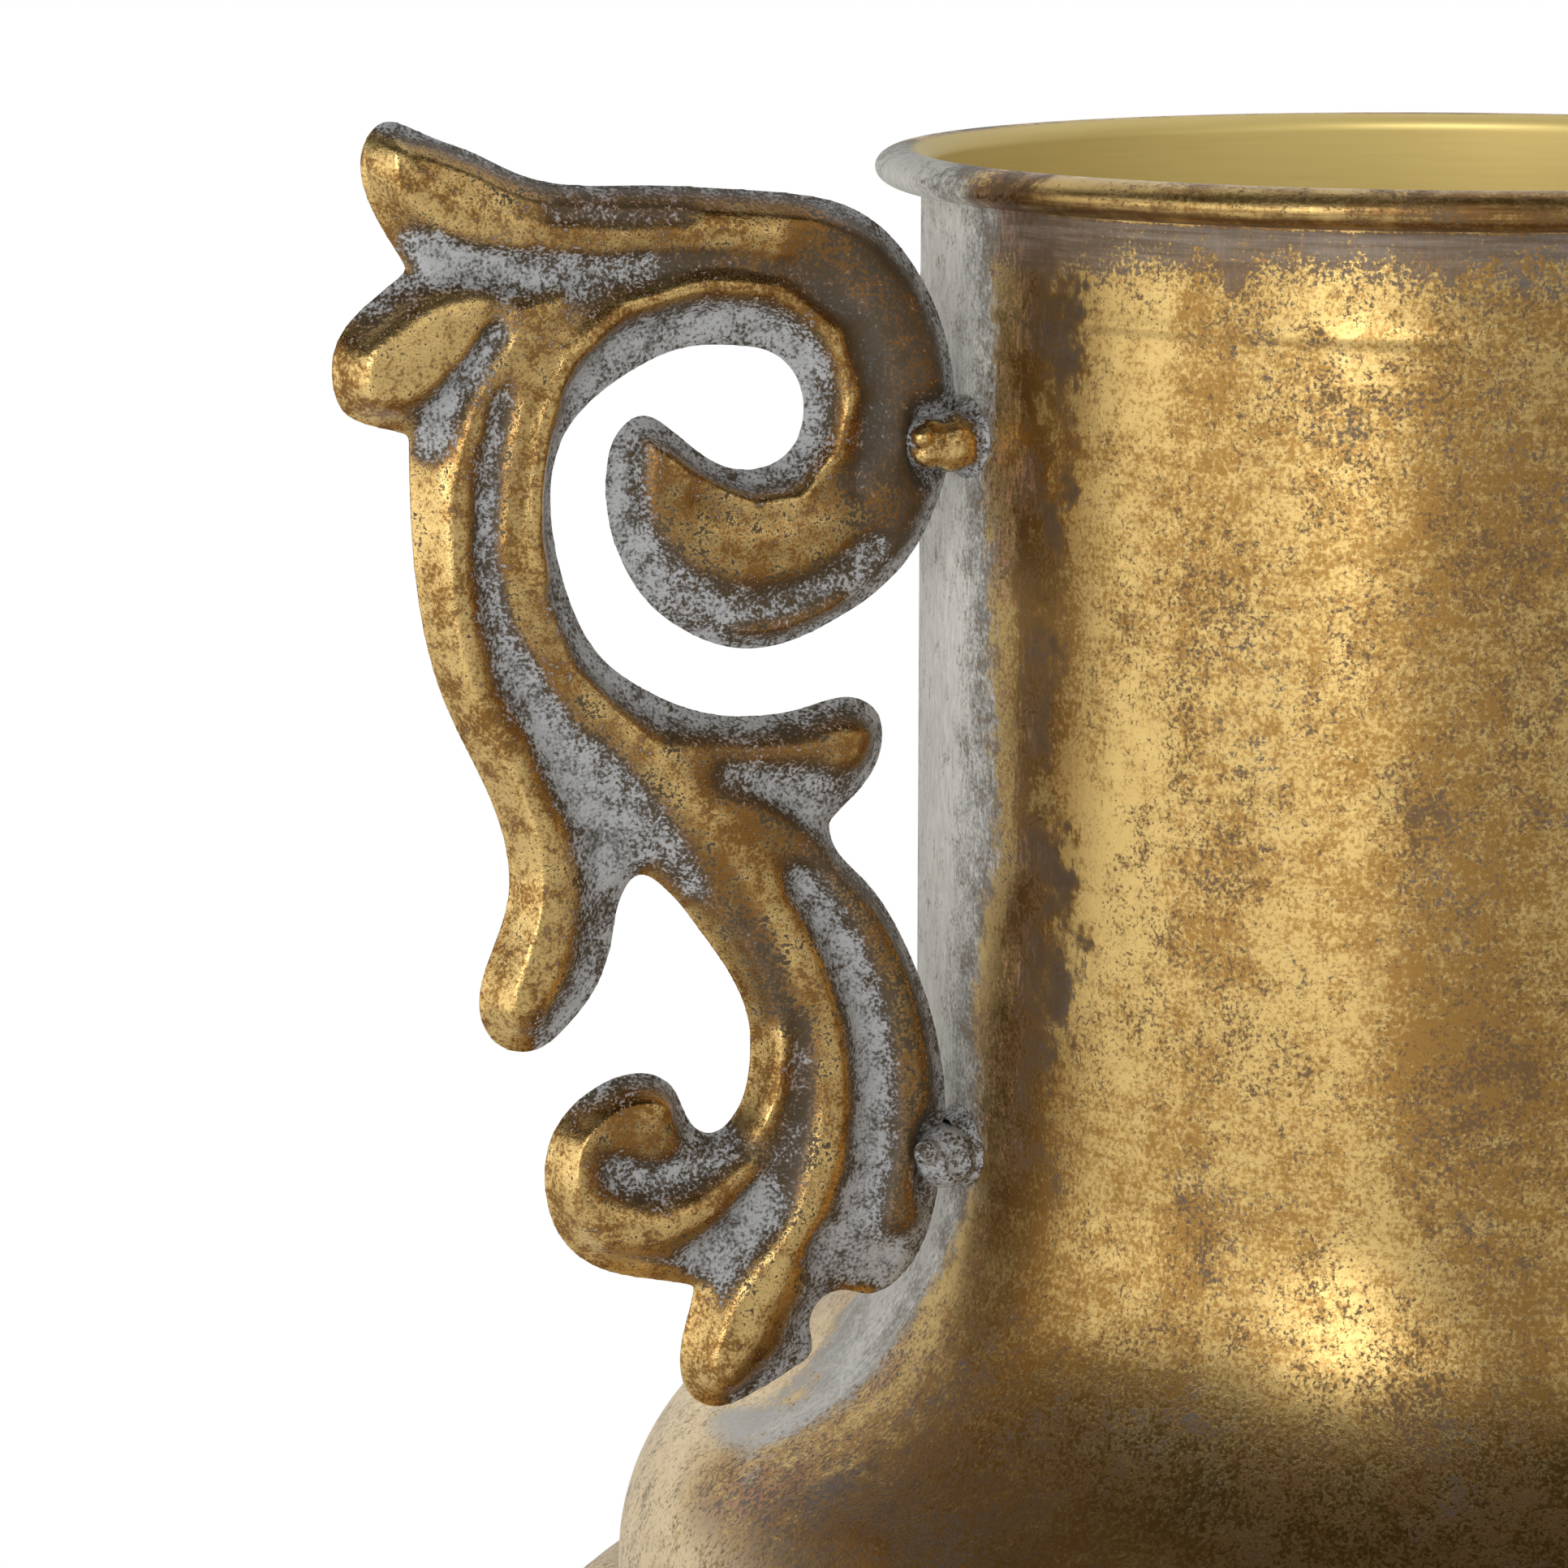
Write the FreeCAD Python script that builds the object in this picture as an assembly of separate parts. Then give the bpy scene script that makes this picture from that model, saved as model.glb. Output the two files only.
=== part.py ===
import FreeCAD, Part
import math
import os

# Urn vase: spun sheet shells, cast scroll handles brazed to the neck, bolted pedestal foot.
# Millimetres. Z is the vase's axis, the origin is on the floor under the rim's centre,
# and the two handles stand in the XZ plane.

Vector = FreeCAD.Vector

# Whole vase
RIM_HEIGHT = 390.0
WALL = 1.2

# Neck, its rolled rim and the domed shoulder below it
NECK_R = 60.0
NECK_LENGTH = 110.0
SHOULDER_COVE_R = 38.0
SHOULDER_DOME_R = 22.5
SHOULDER_SWEEP = 65.0
CREASE_BAND = 3.8
CREASE_COVE_R = 7.0
CREASE_SWEEP = 71.0
RIM_OUTER_R = 65.2
RIM_BEAD_HEIGHT = 4.2
RIM_WIRE_R = 0.9

# Belly, a spun ring that carries on from the crease under the dome, the bowl and its pan
BELLY_SHOULDER_R = 19.0
BOWL_R = 100.0
BOWL_TOP_Z = 150.0
PAN_TOP_Z = 107.0
STRAP_HALF = 4.0
STRAP_THICKNESS = 1.5

# Turned cup and knop between the bowl and the foot
CUP_LIP_R = 48.0
CUP_LIP_Z = 101.3
STEM_R = 29.0
KNOP_TOP_Z = 81.4
KNOP_BEAD_R = 35.0
KNOP_BEAD_HALF = 5.5
KNOP_BEAD_Z = 75.0
KNOP_FOOT_R = 31.0
KNOP_FOOT_Z = 63.0
KNOP_FOOT_BAND = 3.0

# Spun foot
FOOT_R = 82.0
FOOT_COVE_R = 46.0
FOOT_SHOULDER_R = 10.0
FOOT_RING_WIDTH = 13.0
FELT_THICKNESS = 1.6
FELT_MARGIN = 1.0

# Bolt that clamps the bowl, cup, knop and foot
BOLT_R = 3.0
BOLT_HOLE_R = 3.3
BOLT_HEAD_FLATS = 10.0
BOLT_HEAD_HEIGHT = 4.0
BOLT_END = 3.0
NUT_HEIGHT = 5.0
WASHER_R = 9.0
WASHER_THICKNESS = 1.6
SEAL_R = 9.5
SEAL_THICKNESS = 1.5

# Cast scroll handle
# Height over the parting plane and inset of the casting's rounded edge
HANDLE_SECTIONS = [(0.0, 0.0), (3.0, 0.8), (5.0, 2.4)]
# The outline below is drawn at the front face, and this takes it to the middle plane.
OUTLINE_SCALE = 1.0057
OUTLINE_SHIFT_R = -1.7
OUTLINE_SHIFT_Z = -0.2

# Outline of the left handle, as distance from the vase's axis and height over the rim.
# Each stretch runs smoothly from one sharp notch to the next.
HORN_AND_CURL = [
    (124.7, -9.2), (127.3, -5.0), (129.2, -1.0), (129.4, 3.4), (127.2, 6.1), (122.8, 4.9),
    (117.6, 2.9), (112.3, 0.4), (107.3, -0.8), (99.2, -1.1), (88.6, -1.8), (80.2, -2.7),
    (75.5, -3.9), (71.3, -6.4), (67.1, -11.2), (64.2, -17.0), (62.8, -22.5), (62.6, -29.0),
    (64.3, -35.7), (67.1, -41.3), (71.3, -45.6), (77.0, -48.9), (83.4, -51.1), (88.6, -51.1),
    (93.9, -49.0), (98.1, -45.8), (101.0, -41.5), (102.8, -36.0), (102.9, -31.0), (101.5, -27.0),
    (98.8, -25.4), (96.0, -26.7), (92.8, -29.3), (89.7, -31.2), (85.5, -31.7), (81.8, -29.8),
    (80.4, -26.3), (81.0, -22.6), (83.6, -19.7), (88.6, -18.5), (94.4, -18.6), (99.7, -20.6),
    (103.9, -23.2), (107.6, -27.3), (109.0, -32.0), (108.9, -37.3), (106.9, -45.2), (103.9, -50.7),
    (98.6, -54.9), (92.3, -57.7), (86.7, -58.6), (79.6, -57.9), (74.9, -57.2), (71.7, -59.0),
    (71.0, -62.6), (72.6, -66.4), (75.8, -69.6), (77.3, -71.0),
]
INNER_EDGE_AND_LEAF = [
    (77.3, -71.0), (76.7, -73.5), (72.9, -77.9), (68.5, -84.6), (65.2, -92.6), (63.6, -99.6),
    (63.2, -107.0), (64.1, -113.8), (65.5, -119.0), (68.8, -123.5), (72.6, -124.9), (75.5, -124.1),
    (78.2, -124.9), (79.5, -127.6), (79.2, -130.5), (82.0, -132.7), (86.7, -134.9), (90.8, -135.8),
    (93.8, -134.0), (95.0, -130.2), (94.2, -125.5), (93.2, -121.7),
]
VOLUTE_AND_OUTER_EDGE = [
    (93.2, -121.7), (99.6, -120.1), (105.2, -118.0), (108.8, -114.4), (110.5, -108.5),
    (109.4, -102.6), (106.6, -99.4), (102.0, -97.2), (97.9, -97.3), (95.2, -99.6), (93.5, -103.2),
    (91.4, -104.5), (88.5, -102.7), (86.9, -98.5), (86.8, -92.6), (88.8, -87.3), (92.6, -81.7),
    (96.7, -76.7), (99.6, -75.2), (101.4, -77.3), (102.6, -82.3), (104.5, -87.3), (107.9, -91.3),
    (111.4, -93.5), (115.5, -92.6), (117.7, -88.8), (116.7, -83.2), (114.4, -76.7), (114.9, -69.6),
    (118.2, -61.4), (121.5, -54.2), (123.5, -46.8), (124.5, -38.9), (124.8, -31.0), (124.8, -26.4),
]
BUD = [
    (124.8, -26.4), (128.1, -25.5), (131.8, -23.7), (133.0, -20.5), (132.4, -16.3),
    (129.3, -12.7), (124.7, -9.2),
]

# Lugs that carry each handle: end distance from the axis, height over the rim, half sizes
LUG_ROOT = 8.0
UPPER_LUG = {"end_r": 66.5, "z": -29.8, "half_y": 4.2, "half_z": 3.1}
LOWER_LUG = {"end_r": 65.5, "z": -109.8, "half_y": 4.0, "half_z": 3.2}
BRAZE_WIDTH = 2.4
BRAZE_HEIGHT = 1.8


def revolve(face):
    return face.revolve(Vector(0, 0, 0), Vector(0, 0, 1), 360)


def arc(centre_r, centre_z, radius, start_deg, end_deg):
    """Arc in the XZ half plane, through its middle, angles from +X."""
    angles = [start_deg, (start_deg + end_deg) / 2.0, end_deg]
    points = []
    for degrees in angles:
        a = math.radians(degrees)
        points.append(Vector(centre_r + radius * math.cos(a), 0, centre_z + radius * math.sin(a)))
    return Part.Arc(points[0], points[1], points[2]).toShape()


def line(r1, z1, r2, z2):
    return Part.makeLine(Vector(r1, 0, z1), Vector(r2, 0, z2))


def ring_face(edges):
    return Part.Face(Part.Wire(edges))


def sorted_face(edges):
    return ring_face(Part.__sortEdges__(edges))


def largest(shape):
    return max(shape.Solids, key=lambda solid: solid.Volume)


def box_ring(r_in, r_out, z_low, z_high):
    outer = Part.makeCylinder(r_out, z_high - z_low, Vector(0, 0, z_low))
    inner = Part.makeCylinder(r_in, z_high - z_low, Vector(0, 0, z_low))
    return outer.cut(inner)


# Heights and radii that follow from the driving dimensions
SWEEP = math.radians(SHOULDER_SWEEP)
SEAM_SLOPE = math.radians(CREASE_SWEEP)
NECK_FOOT_Z = RIM_HEIGHT - NECK_LENGTH
DOME_R = NECK_R + (SHOULDER_COVE_R + SHOULDER_DOME_R) * (1 - math.cos(SWEEP))
DOME_Z = NECK_FOOT_Z - (SHOULDER_COVE_R + SHOULDER_DOME_R) * math.sin(SWEEP)
CREASE_Z = DOME_Z - CREASE_BAND
SEAM_R = DOME_R + CREASE_COVE_R * (1 - math.cos(SEAM_SLOPE))
SEAM_Z = CREASE_Z - CREASE_COVE_R * math.sin(SEAM_SLOPE)
BELLY_R = SEAM_R + BELLY_SHOULDER_R * (1 - math.cos(SEAM_SLOPE))
BELLY_Z = SEAM_Z - BELLY_SHOULDER_R * math.sin(SEAM_SLOPE)
BOWL_CENTRE_R = BELLY_R - BOWL_R
BOWL_FOOT_Z = BELLY_Z - BOWL_R
BOWL_TOP_SLOPE = math.asin((BELLY_Z - BOWL_TOP_Z) / BOWL_R)
PAN_TOP_SLOPE = math.asin((BELLY_Z - PAN_TOP_Z) / BOWL_R)
FOOT_RING_R = FOOT_R - FOOT_RING_WIDTH


def shoulder_edges(offset):
    """Cove, dome, short band and crease of the shoulder, moved inwards by offset."""
    return [
        arc(NECK_R + SHOULDER_COVE_R, NECK_FOOT_Z, SHOULDER_COVE_R + offset,
            180, 180 + SHOULDER_SWEEP),
        arc(DOME_R - SHOULDER_DOME_R, DOME_Z, SHOULDER_DOME_R - offset, SHOULDER_SWEEP, 0),
        line(DOME_R - offset, DOME_Z, DOME_R - offset, CREASE_Z),
        arc(DOME_R + CREASE_COVE_R, CREASE_Z, CREASE_COVE_R + offset, 180, 180 + CREASE_SWEEP),
    ]


def butt_edge(outer_r, outer_z, slope):
    """Edge across the sheet, square to its outer face, which slopes by that angle from upright."""
    inner_r = outer_r - WALL * math.cos(slope)
    inner_z = outer_z - WALL * math.sin(slope)
    return line(outer_r, outer_z, inner_r, inner_z)


def seam_edge():
    """Butt edge where the neck shell meets the belly."""
    return butt_edge(SEAM_R, SEAM_Z, SEAM_SLOPE)


def bowl_point(slope):
    """Place on the bowl's outer face where it slopes under by that angle from upright."""
    return BOWL_CENTRE_R + BOWL_R * math.cos(slope), BELLY_Z - BOWL_R * math.sin(slope)


def bowl_edge(slope):
    """Butt edge across the bowl's sheet at that slope."""
    r, z = bowl_point(slope)
    return butt_edge(r, z, -slope)


def bowl_arc(radius, from_slope, to_slope):
    return arc(BOWL_CENTRE_R, BELLY_Z, radius, -math.degrees(from_slope), -math.degrees(to_slope))


def rim_bead():
    half_width = (RIM_OUTER_R - (NECK_R - WALL)) / 2.0
    centre = Vector(RIM_OUTER_R - half_width, 0, RIM_HEIGHT - RIM_BEAD_HEIGHT / 2.0)
    across = centre + Vector(half_width, 0, 0)
    up = centre + Vector(0, 0, RIM_BEAD_HEIGHT / 2.0)
    section = Part.Ellipse(across, up, centre).toShape()
    return revolve(Part.Face(Part.Wire(section)))


def rim_wire():
    half_width = (RIM_OUTER_R - (NECK_R - WALL)) / 2.0
    centre = Vector(RIM_OUTER_R - half_width, 0, RIM_HEIGHT - RIM_BEAD_HEIGHT / 2.0)
    section = Part.makeCircle(RIM_WIRE_R, centre, Vector(0, 1, 0))
    return revolve(Part.Face(Part.Wire(section)))


def neck_shell():
    """Neck and domed shoulder, one spun sheet whose edge is rolled round the rim wire."""
    top_z = RIM_HEIGHT - RIM_BEAD_HEIGHT / 2.0
    edges = [
        line(NECK_R, top_z, NECK_R, NECK_FOOT_Z),
        *shoulder_edges(0),
        seam_edge(),
        *shoulder_edges(WALL),
        line(NECK_R - WALL, NECK_FOOT_Z, NECK_R - WALL, top_z),
        line(NECK_R - WALL, top_z, NECK_R, top_z),
    ]
    sheet = revolve(sorted_face(edges))
    return sheet.fuse(rim_bead()).cut(rim_wire()).removeSplitter()


def belly_shell():
    """Spun ring from the seam below the crease, round the widest place, to the bowl."""
    shoulder_r = BELLY_R - BELLY_SHOULDER_R
    edges = [
        seam_edge(),
        arc(shoulder_r, BELLY_Z, BELLY_SHOULDER_R, CREASE_SWEEP, 0),
        bowl_arc(BOWL_R, 0, BOWL_TOP_SLOPE),
        bowl_edge(BOWL_TOP_SLOPE),
        bowl_arc(BOWL_R - WALL, BOWL_TOP_SLOPE, 0),
        arc(shoulder_r, BELLY_Z, BELLY_SHOULDER_R - WALL, 0, CREASE_SWEEP),
    ]
    return revolve(sorted_face(edges))


def bowl_shell():
    """Spun bowl between the belly and the pan."""
    edges = [
        bowl_edge(BOWL_TOP_SLOPE),
        bowl_arc(BOWL_R, BOWL_TOP_SLOPE, PAN_TOP_SLOPE),
        bowl_edge(PAN_TOP_SLOPE),
        bowl_arc(BOWL_R - WALL, PAN_TOP_SLOPE, BOWL_TOP_SLOPE),
    ]
    return revolve(sorted_face(edges))


def bowl_pan():
    """Pressed pan that closes the bowl, flat in its middle, with the bolt hole."""
    edges = [
        bowl_edge(PAN_TOP_SLOPE),
        bowl_arc(BOWL_R, PAN_TOP_SLOPE, math.pi / 2),
        line(BOWL_CENTRE_R, BOWL_FOOT_Z, BOLT_HOLE_R, BOWL_FOOT_Z),
        line(BOLT_HOLE_R, BOWL_FOOT_Z, BOLT_HOLE_R, BOWL_FOOT_Z + WALL),
        line(BOLT_HOLE_R, BOWL_FOOT_Z + WALL, BOWL_CENTRE_R, BOWL_FOOT_Z + WALL),
        bowl_arc(BOWL_R - WALL, math.pi / 2, PAN_TOP_SLOPE),
    ]
    return revolve(sorted_face(edges))


def strap(outer_r, outer_z, slope, sheets):
    """Soldered backing ring behind a seam, inside the vessel, fitted to its two sheets."""
    inner_r = outer_r - WALL * math.cos(slope)
    inner_z = outer_z - WALL * math.sin(slope)
    along = (math.sin(slope), -math.cos(slope))
    into = (-math.cos(slope), -math.sin(slope))
    corners = []
    for run, depth in ((-1, 0), (1, 0), (1, 1), (-1, 1), (-1, 0)):
        r = inner_r + along[0] * run * STRAP_HALF + into[0] * depth * STRAP_THICKNESS
        z = inner_z + along[1] * run * STRAP_HALF + into[1] * depth * STRAP_THICKNESS
        corners.append(Vector(r, 0, z))
    ring = revolve(Part.Face(Part.makePolygon(corners)))
    for sheet in sheets:
        ring = ring.cut(sheet)
    return largest(ring)


def bowl_strap(slope, sheets):
    """Backing ring behind one of the bowl's seams."""
    r, z = bowl_point(slope)
    return strap(r, z, -slope, sheets)


def bowl_solid():
    """The room inside and under the bowl's outer face, used to fit the cup to it."""
    edges = [
        arc(BOWL_CENTRE_R, BELLY_Z, BOWL_R, 0, -90),
        line(BOWL_CENTRE_R, BOWL_FOOT_Z, 0, BOWL_FOOT_Z),
        line(0, BOWL_FOOT_Z, 0, BELLY_Z),
        line(0, BELLY_Z, BELLY_R, BELLY_Z),
    ]
    return revolve(sorted_face(edges))


def drilled(edges):
    """Turned solid from a closed profile, with the bolt hole through it."""
    hole = Part.makeCylinder(BOLT_HOLE_R, RIM_HEIGHT, Vector(0, 0, 0))
    return revolve(ring_face(edges)).cut(hole)


def bowl_cup():
    """Turned cup that flares from the stem to a lip under the bowl."""
    flare_r = CUP_LIP_R - STEM_R
    waist_z = CUP_LIP_Z - flare_r
    edges = [
        line(0, KNOP_TOP_Z, STEM_R, KNOP_TOP_Z),
        line(STEM_R, KNOP_TOP_Z, STEM_R, waist_z),
        arc(CUP_LIP_R, waist_z, flare_r, 180, 90),
        line(CUP_LIP_R, CUP_LIP_Z, CUP_LIP_R, BELLY_Z),
        line(CUP_LIP_R, BELLY_Z, 0, BELLY_Z),
        line(0, BELLY_Z, 0, KNOP_TOP_Z),
    ]
    return largest(drilled(edges).cut(bowl_solid()))


def stem_knop():
    """Turned knop: a round bead over a flared seat for the foot."""
    bead_top = KNOP_BEAD_Z + KNOP_BEAD_HALF
    bead_low = KNOP_BEAD_Z - KNOP_BEAD_HALF
    band_z = KNOP_FOOT_Z + KNOP_FOOT_BAND
    bead = Part.Arc(Vector(STEM_R, 0, bead_low), Vector(KNOP_BEAD_R, 0, KNOP_BEAD_Z),
                    Vector(STEM_R, 0, bead_top)).toShape()
    edges = [
        line(0, KNOP_FOOT_Z, KNOP_FOOT_R, KNOP_FOOT_Z),
        line(KNOP_FOOT_R, KNOP_FOOT_Z, KNOP_FOOT_R, band_z),
        line(KNOP_FOOT_R, band_z, STEM_R, bead_low),
        bead,
        line(STEM_R, bead_top, STEM_R, KNOP_TOP_Z),
        line(STEM_R, KNOP_TOP_Z, 0, KNOP_TOP_Z),
        line(0, KNOP_TOP_Z, 0, KNOP_FOOT_Z),
    ]
    return drilled(edges)


def foot_shell():
    """Spun foot: flat top, wide cove, rounded shoulder and upright band."""
    top_z = KNOP_FOOT_Z
    cove_top_r = FOOT_R - FOOT_SHOULDER_R - FOOT_COVE_R
    cove_z = top_z - WALL
    step_z = cove_z - FOOT_COVE_R
    band_z = step_z - FOOT_SHOULDER_R
    edges = [
        line(BOLT_HOLE_R, top_z, cove_top_r, top_z),
        line(cove_top_r, top_z, cove_top_r, cove_z),
        arc(cove_top_r + FOOT_COVE_R, cove_z, FOOT_COVE_R, 180, 270),
        arc(FOOT_R - FOOT_SHOULDER_R, band_z, FOOT_SHOULDER_R, 90, 0),
        line(FOOT_R, band_z, FOOT_R, FELT_THICKNESS),
        line(FOOT_R, FELT_THICKNESS, FOOT_R - WALL, FELT_THICKNESS),
        line(FOOT_R - WALL, FELT_THICKNESS, FOOT_R - WALL, band_z),
        arc(FOOT_R - FOOT_SHOULDER_R, band_z, FOOT_SHOULDER_R - WALL, 0, 90),
        arc(cove_top_r + FOOT_COVE_R, cove_z, FOOT_COVE_R + WALL, 270, 180),
        line(cove_top_r - WALL, cove_z, BOLT_HOLE_R, cove_z),
        line(BOLT_HOLE_R, cove_z, BOLT_HOLE_R, top_z),
    ]
    return revolve(ring_face(edges))


def foot_ring():
    """Flat ring soldered inside the foot's band, which carries the felt."""
    return box_ring(FOOT_RING_R, FOOT_R - WALL, FELT_THICKNESS, FELT_THICKNESS + WALL)


def foot_felt():
    return box_ring(FOOT_RING_R + FELT_MARGIN, FOOT_R - FELT_MARGIN, 0, FELT_THICKNESS)


def hexagon(flats, z_low, height):
    corner_r = flats / 2.0 / math.cos(math.radians(30))
    points = []
    for corner in range(7):
        a = math.radians(60 * corner)
        points.append(Vector(corner_r * math.cos(a), corner_r * math.sin(a), z_low))
    return Part.Face(Part.makePolygon(points)).extrude(Vector(0, 0, height))


BOWL_INSIDE_Z = BOWL_FOOT_Z + WALL
SEAL_TOP_Z = BOWL_INSIDE_Z + SEAL_THICKNESS
HEAD_Z = SEAL_TOP_Z + WASHER_THICKNESS
FOOT_WASHER_Z = KNOP_FOOT_Z - WALL - WASHER_THICKNESS
NUT_Z = FOOT_WASHER_Z - NUT_HEIGHT


def pedestal_bolt():
    shank_z = NUT_Z - BOLT_END
    shank = Part.makeCylinder(BOLT_R, HEAD_Z - shank_z, Vector(0, 0, shank_z))
    return shank.fuse(hexagon(BOLT_HEAD_FLATS, HEAD_Z, BOLT_HEAD_HEIGHT)).removeSplitter()


def foot_nut():
    hole = Part.makeCylinder(BOLT_R, NUT_HEIGHT, Vector(0, 0, NUT_Z))
    return hexagon(BOLT_HEAD_FLATS, NUT_Z, NUT_HEIGHT).cut(hole)


def mid_plane_point(point):
    """Middle-plane place of a drawn outline point of the left handle."""
    r = point[0] * OUTLINE_SCALE + OUTLINE_SHIFT_R
    z = point[1] * OUTLINE_SCALE + OUTLINE_SHIFT_Z
    return (-r, RIM_HEIGHT + z)


def handle_loop():
    """The whole outline as one closed list, and the index at which each stretch ends."""
    loop = []
    ends = []
    for stretch in (HORN_AND_CURL, INNER_EDGE_AND_LEAF, VOLUTE_AND_OUTER_EDGE, BUD):
        loop.extend(mid_plane_point(point) for point in stretch[:-1])
        ends.append(len(loop))
    return loop, ends


def inset_loop(loop, inset):
    """The closed outline moved into the metal by inset, along each point's normal."""
    area = 0.0
    for here, after in zip(loop, loop[1:] + loop[:1]):
        area += here[0] * after[1] - after[0] * here[1]
    side = 1.0 if area > 0 else -1.0
    moved = []
    for index, here in enumerate(loop):
        before = loop[index - 1]
        after = loop[(index + 1) % len(loop)]
        tx = after[0] - before[0]
        tz = after[1] - before[1]
        length = math.hypot(tx, tz)
        moved.append((here[0] - side * inset * tz / length, here[1] + side * inset * tx / length))
    return moved


def outline_wire(loop, ends, timing, y):
    """Splines through the outline's stretches, with the knots that timing gives."""
    edges = []
    start = 0
    for end in ends:
        ring = loop + loop[:1]
        knots_from = timing + timing[:1]
        points = [Vector(x, y, z) for x, z in ring[start:end + 1]]
        knots = [0.0]
        for a, b in zip(knots_from[start:end], knots_from[start + 1:end + 1]):
            knots.append(knots[-1] + math.hypot(b[0] - a[0], b[1] - a[1]))
        curve = Part.BSplineCurve()
        curve.interpolate(Points=points, Parameters=knots)
        edges.append(curve.toShape())
        start = end
    return Part.Wire(edges)


def handle_blank():
    """Casting of the left handle: widest at its parting line, drafted to both faces."""
    loop, ends = handle_loop()
    both_sides = [(-y, inset) for y, inset in HANDLE_SECTIONS[:0:-1]] + HANDLE_SECTIONS
    wires = [outline_wire(inset_loop(loop, inset), ends, loop, y) for y, inset in both_sides]
    return Part.makeLoft(wires, True, True)


def lug(spec):
    """Oval bar that stands on the neck and is let into the handle's inner edge."""
    z = RIM_HEIGHT + spec["z"]
    inner_x = -(NECK_R - LUG_ROOT)
    centre = Vector(inner_x, 0, z)
    major = centre + Vector(0, spec["half_y"], 0)
    minor = centre + Vector(0, 0, spec["half_z"])
    section = Part.Face(Part.Wire(Part.Ellipse(major, minor, centre).toShape()))
    bar = section.extrude(Vector(-spec["end_r"] - inner_x, 0, 0))
    return largest(bar.cut(neck_plug()))


def neck_plug():
    """Everything inside the outer face of the neck and shoulder."""
    edges = [
        line(0, RIM_HEIGHT, NECK_R, RIM_HEIGHT),
        line(NECK_R, RIM_HEIGHT, NECK_R, NECK_FOOT_Z),
        *shoulder_edges(0),
        line(SEAM_R, SEAM_Z, 0, SEAM_Z),
        line(0, SEAM_Z, 0, RIM_HEIGHT),
    ]
    return revolve(ring_face(edges))


def braze(spec, bar):
    """Fillet of braze round a lug's root, against the neck."""
    z = RIM_HEIGHT + spec["z"]
    sections = []
    for x, grow in ((-(NECK_R - 1.0), BRAZE_WIDTH), (-(NECK_R + BRAZE_HEIGHT), 0.1)):
        centre = Vector(x, 0, z)
        major = centre + Vector(0, spec["half_y"] + grow, 0)
        minor = centre + Vector(0, 0, spec["half_z"] + grow)
        sections.append(Part.Wire(Part.Ellipse(major, minor, centre).toShape()))
    cone = Part.makeLoft(sections, True, True)
    return largest(cone.cut(neck_plug()).cut(bar))


def turned_to_right(shape):
    copy = shape.copy()
    copy.rotate(Vector(0, 0, 0), Vector(0, 0, 1), 180)
    return copy


def handle_set():
    """Left handle with its lugs and their braze."""
    upper = lug(UPPER_LUG)
    lower = lug(LOWER_LUG)
    upper_braze = braze(UPPER_LUG, upper)
    lower_braze = braze(LOWER_LUG, lower)
    handle = handle_blank().cut(upper).cut(lower).cut(upper_braze).cut(lower_braze)
    return {
        "handle": largest(handle),
        "upper_lug": upper,
        "lower_lug": lower,
        "upper_braze": upper_braze,
        "lower_braze": lower_braze,
    }


def build():
    neck = neck_shell()
    belly = belly_shell()
    bowl = bowl_shell()
    pan = bowl_pan()
    parts = {
        "neck_shell": neck,
        "rim_wire": rim_wire(),
        "belly_shell": belly,
        "bowl_shell": bowl,
        "bowl_pan": pan,
        "seam_strap": strap(SEAM_R, SEAM_Z, SEAM_SLOPE, (neck, belly)),
        "bowl_strap": bowl_strap(BOWL_TOP_SLOPE, (belly, bowl)),
        "pan_strap": bowl_strap(PAN_TOP_SLOPE, (bowl, pan)),
        "bowl_cup": bowl_cup(),
        "stem_knop": stem_knop(),
        "foot_shell": foot_shell(),
        "foot_ring": foot_ring(),
        "foot_felt": foot_felt(),
        "pedestal_bolt": pedestal_bolt(),
        "bolt_seal": box_ring(BOLT_R, SEAL_R, BOWL_INSIDE_Z, SEAL_TOP_Z),
        "bolt_washer": box_ring(BOLT_HOLE_R, WASHER_R, SEAL_TOP_Z, HEAD_Z),
        "foot_washer": box_ring(BOLT_HOLE_R, WASHER_R, FOOT_WASHER_Z, FOOT_WASHER_Z + WASHER_THICKNESS),
        "foot_nut": foot_nut(),
    }
    for name, shape in handle_set().items():
        parts["left_" + name] = shape
        parts["right_" + name] = turned_to_right(shape)
    return parts


def write_parts(parts):
    os.makedirs("parts", exist_ok=True)
    for name, shape in parts.items():
        box = shape.BoundBox
        print(name, shape.isValid(), len(shape.Solids), round(shape.Volume, 1),
              [round(v, 1) for v in (box.XMin, box.YMin, box.ZMin, box.XMax, box.YMax, box.ZMax)])
        shape.exportStep("parts/" + name + ".step")


write_parts(build())
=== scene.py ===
import math

import bpy
import numpy as np
from mathutils import Matrix, Vector, kdtree, noise


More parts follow.
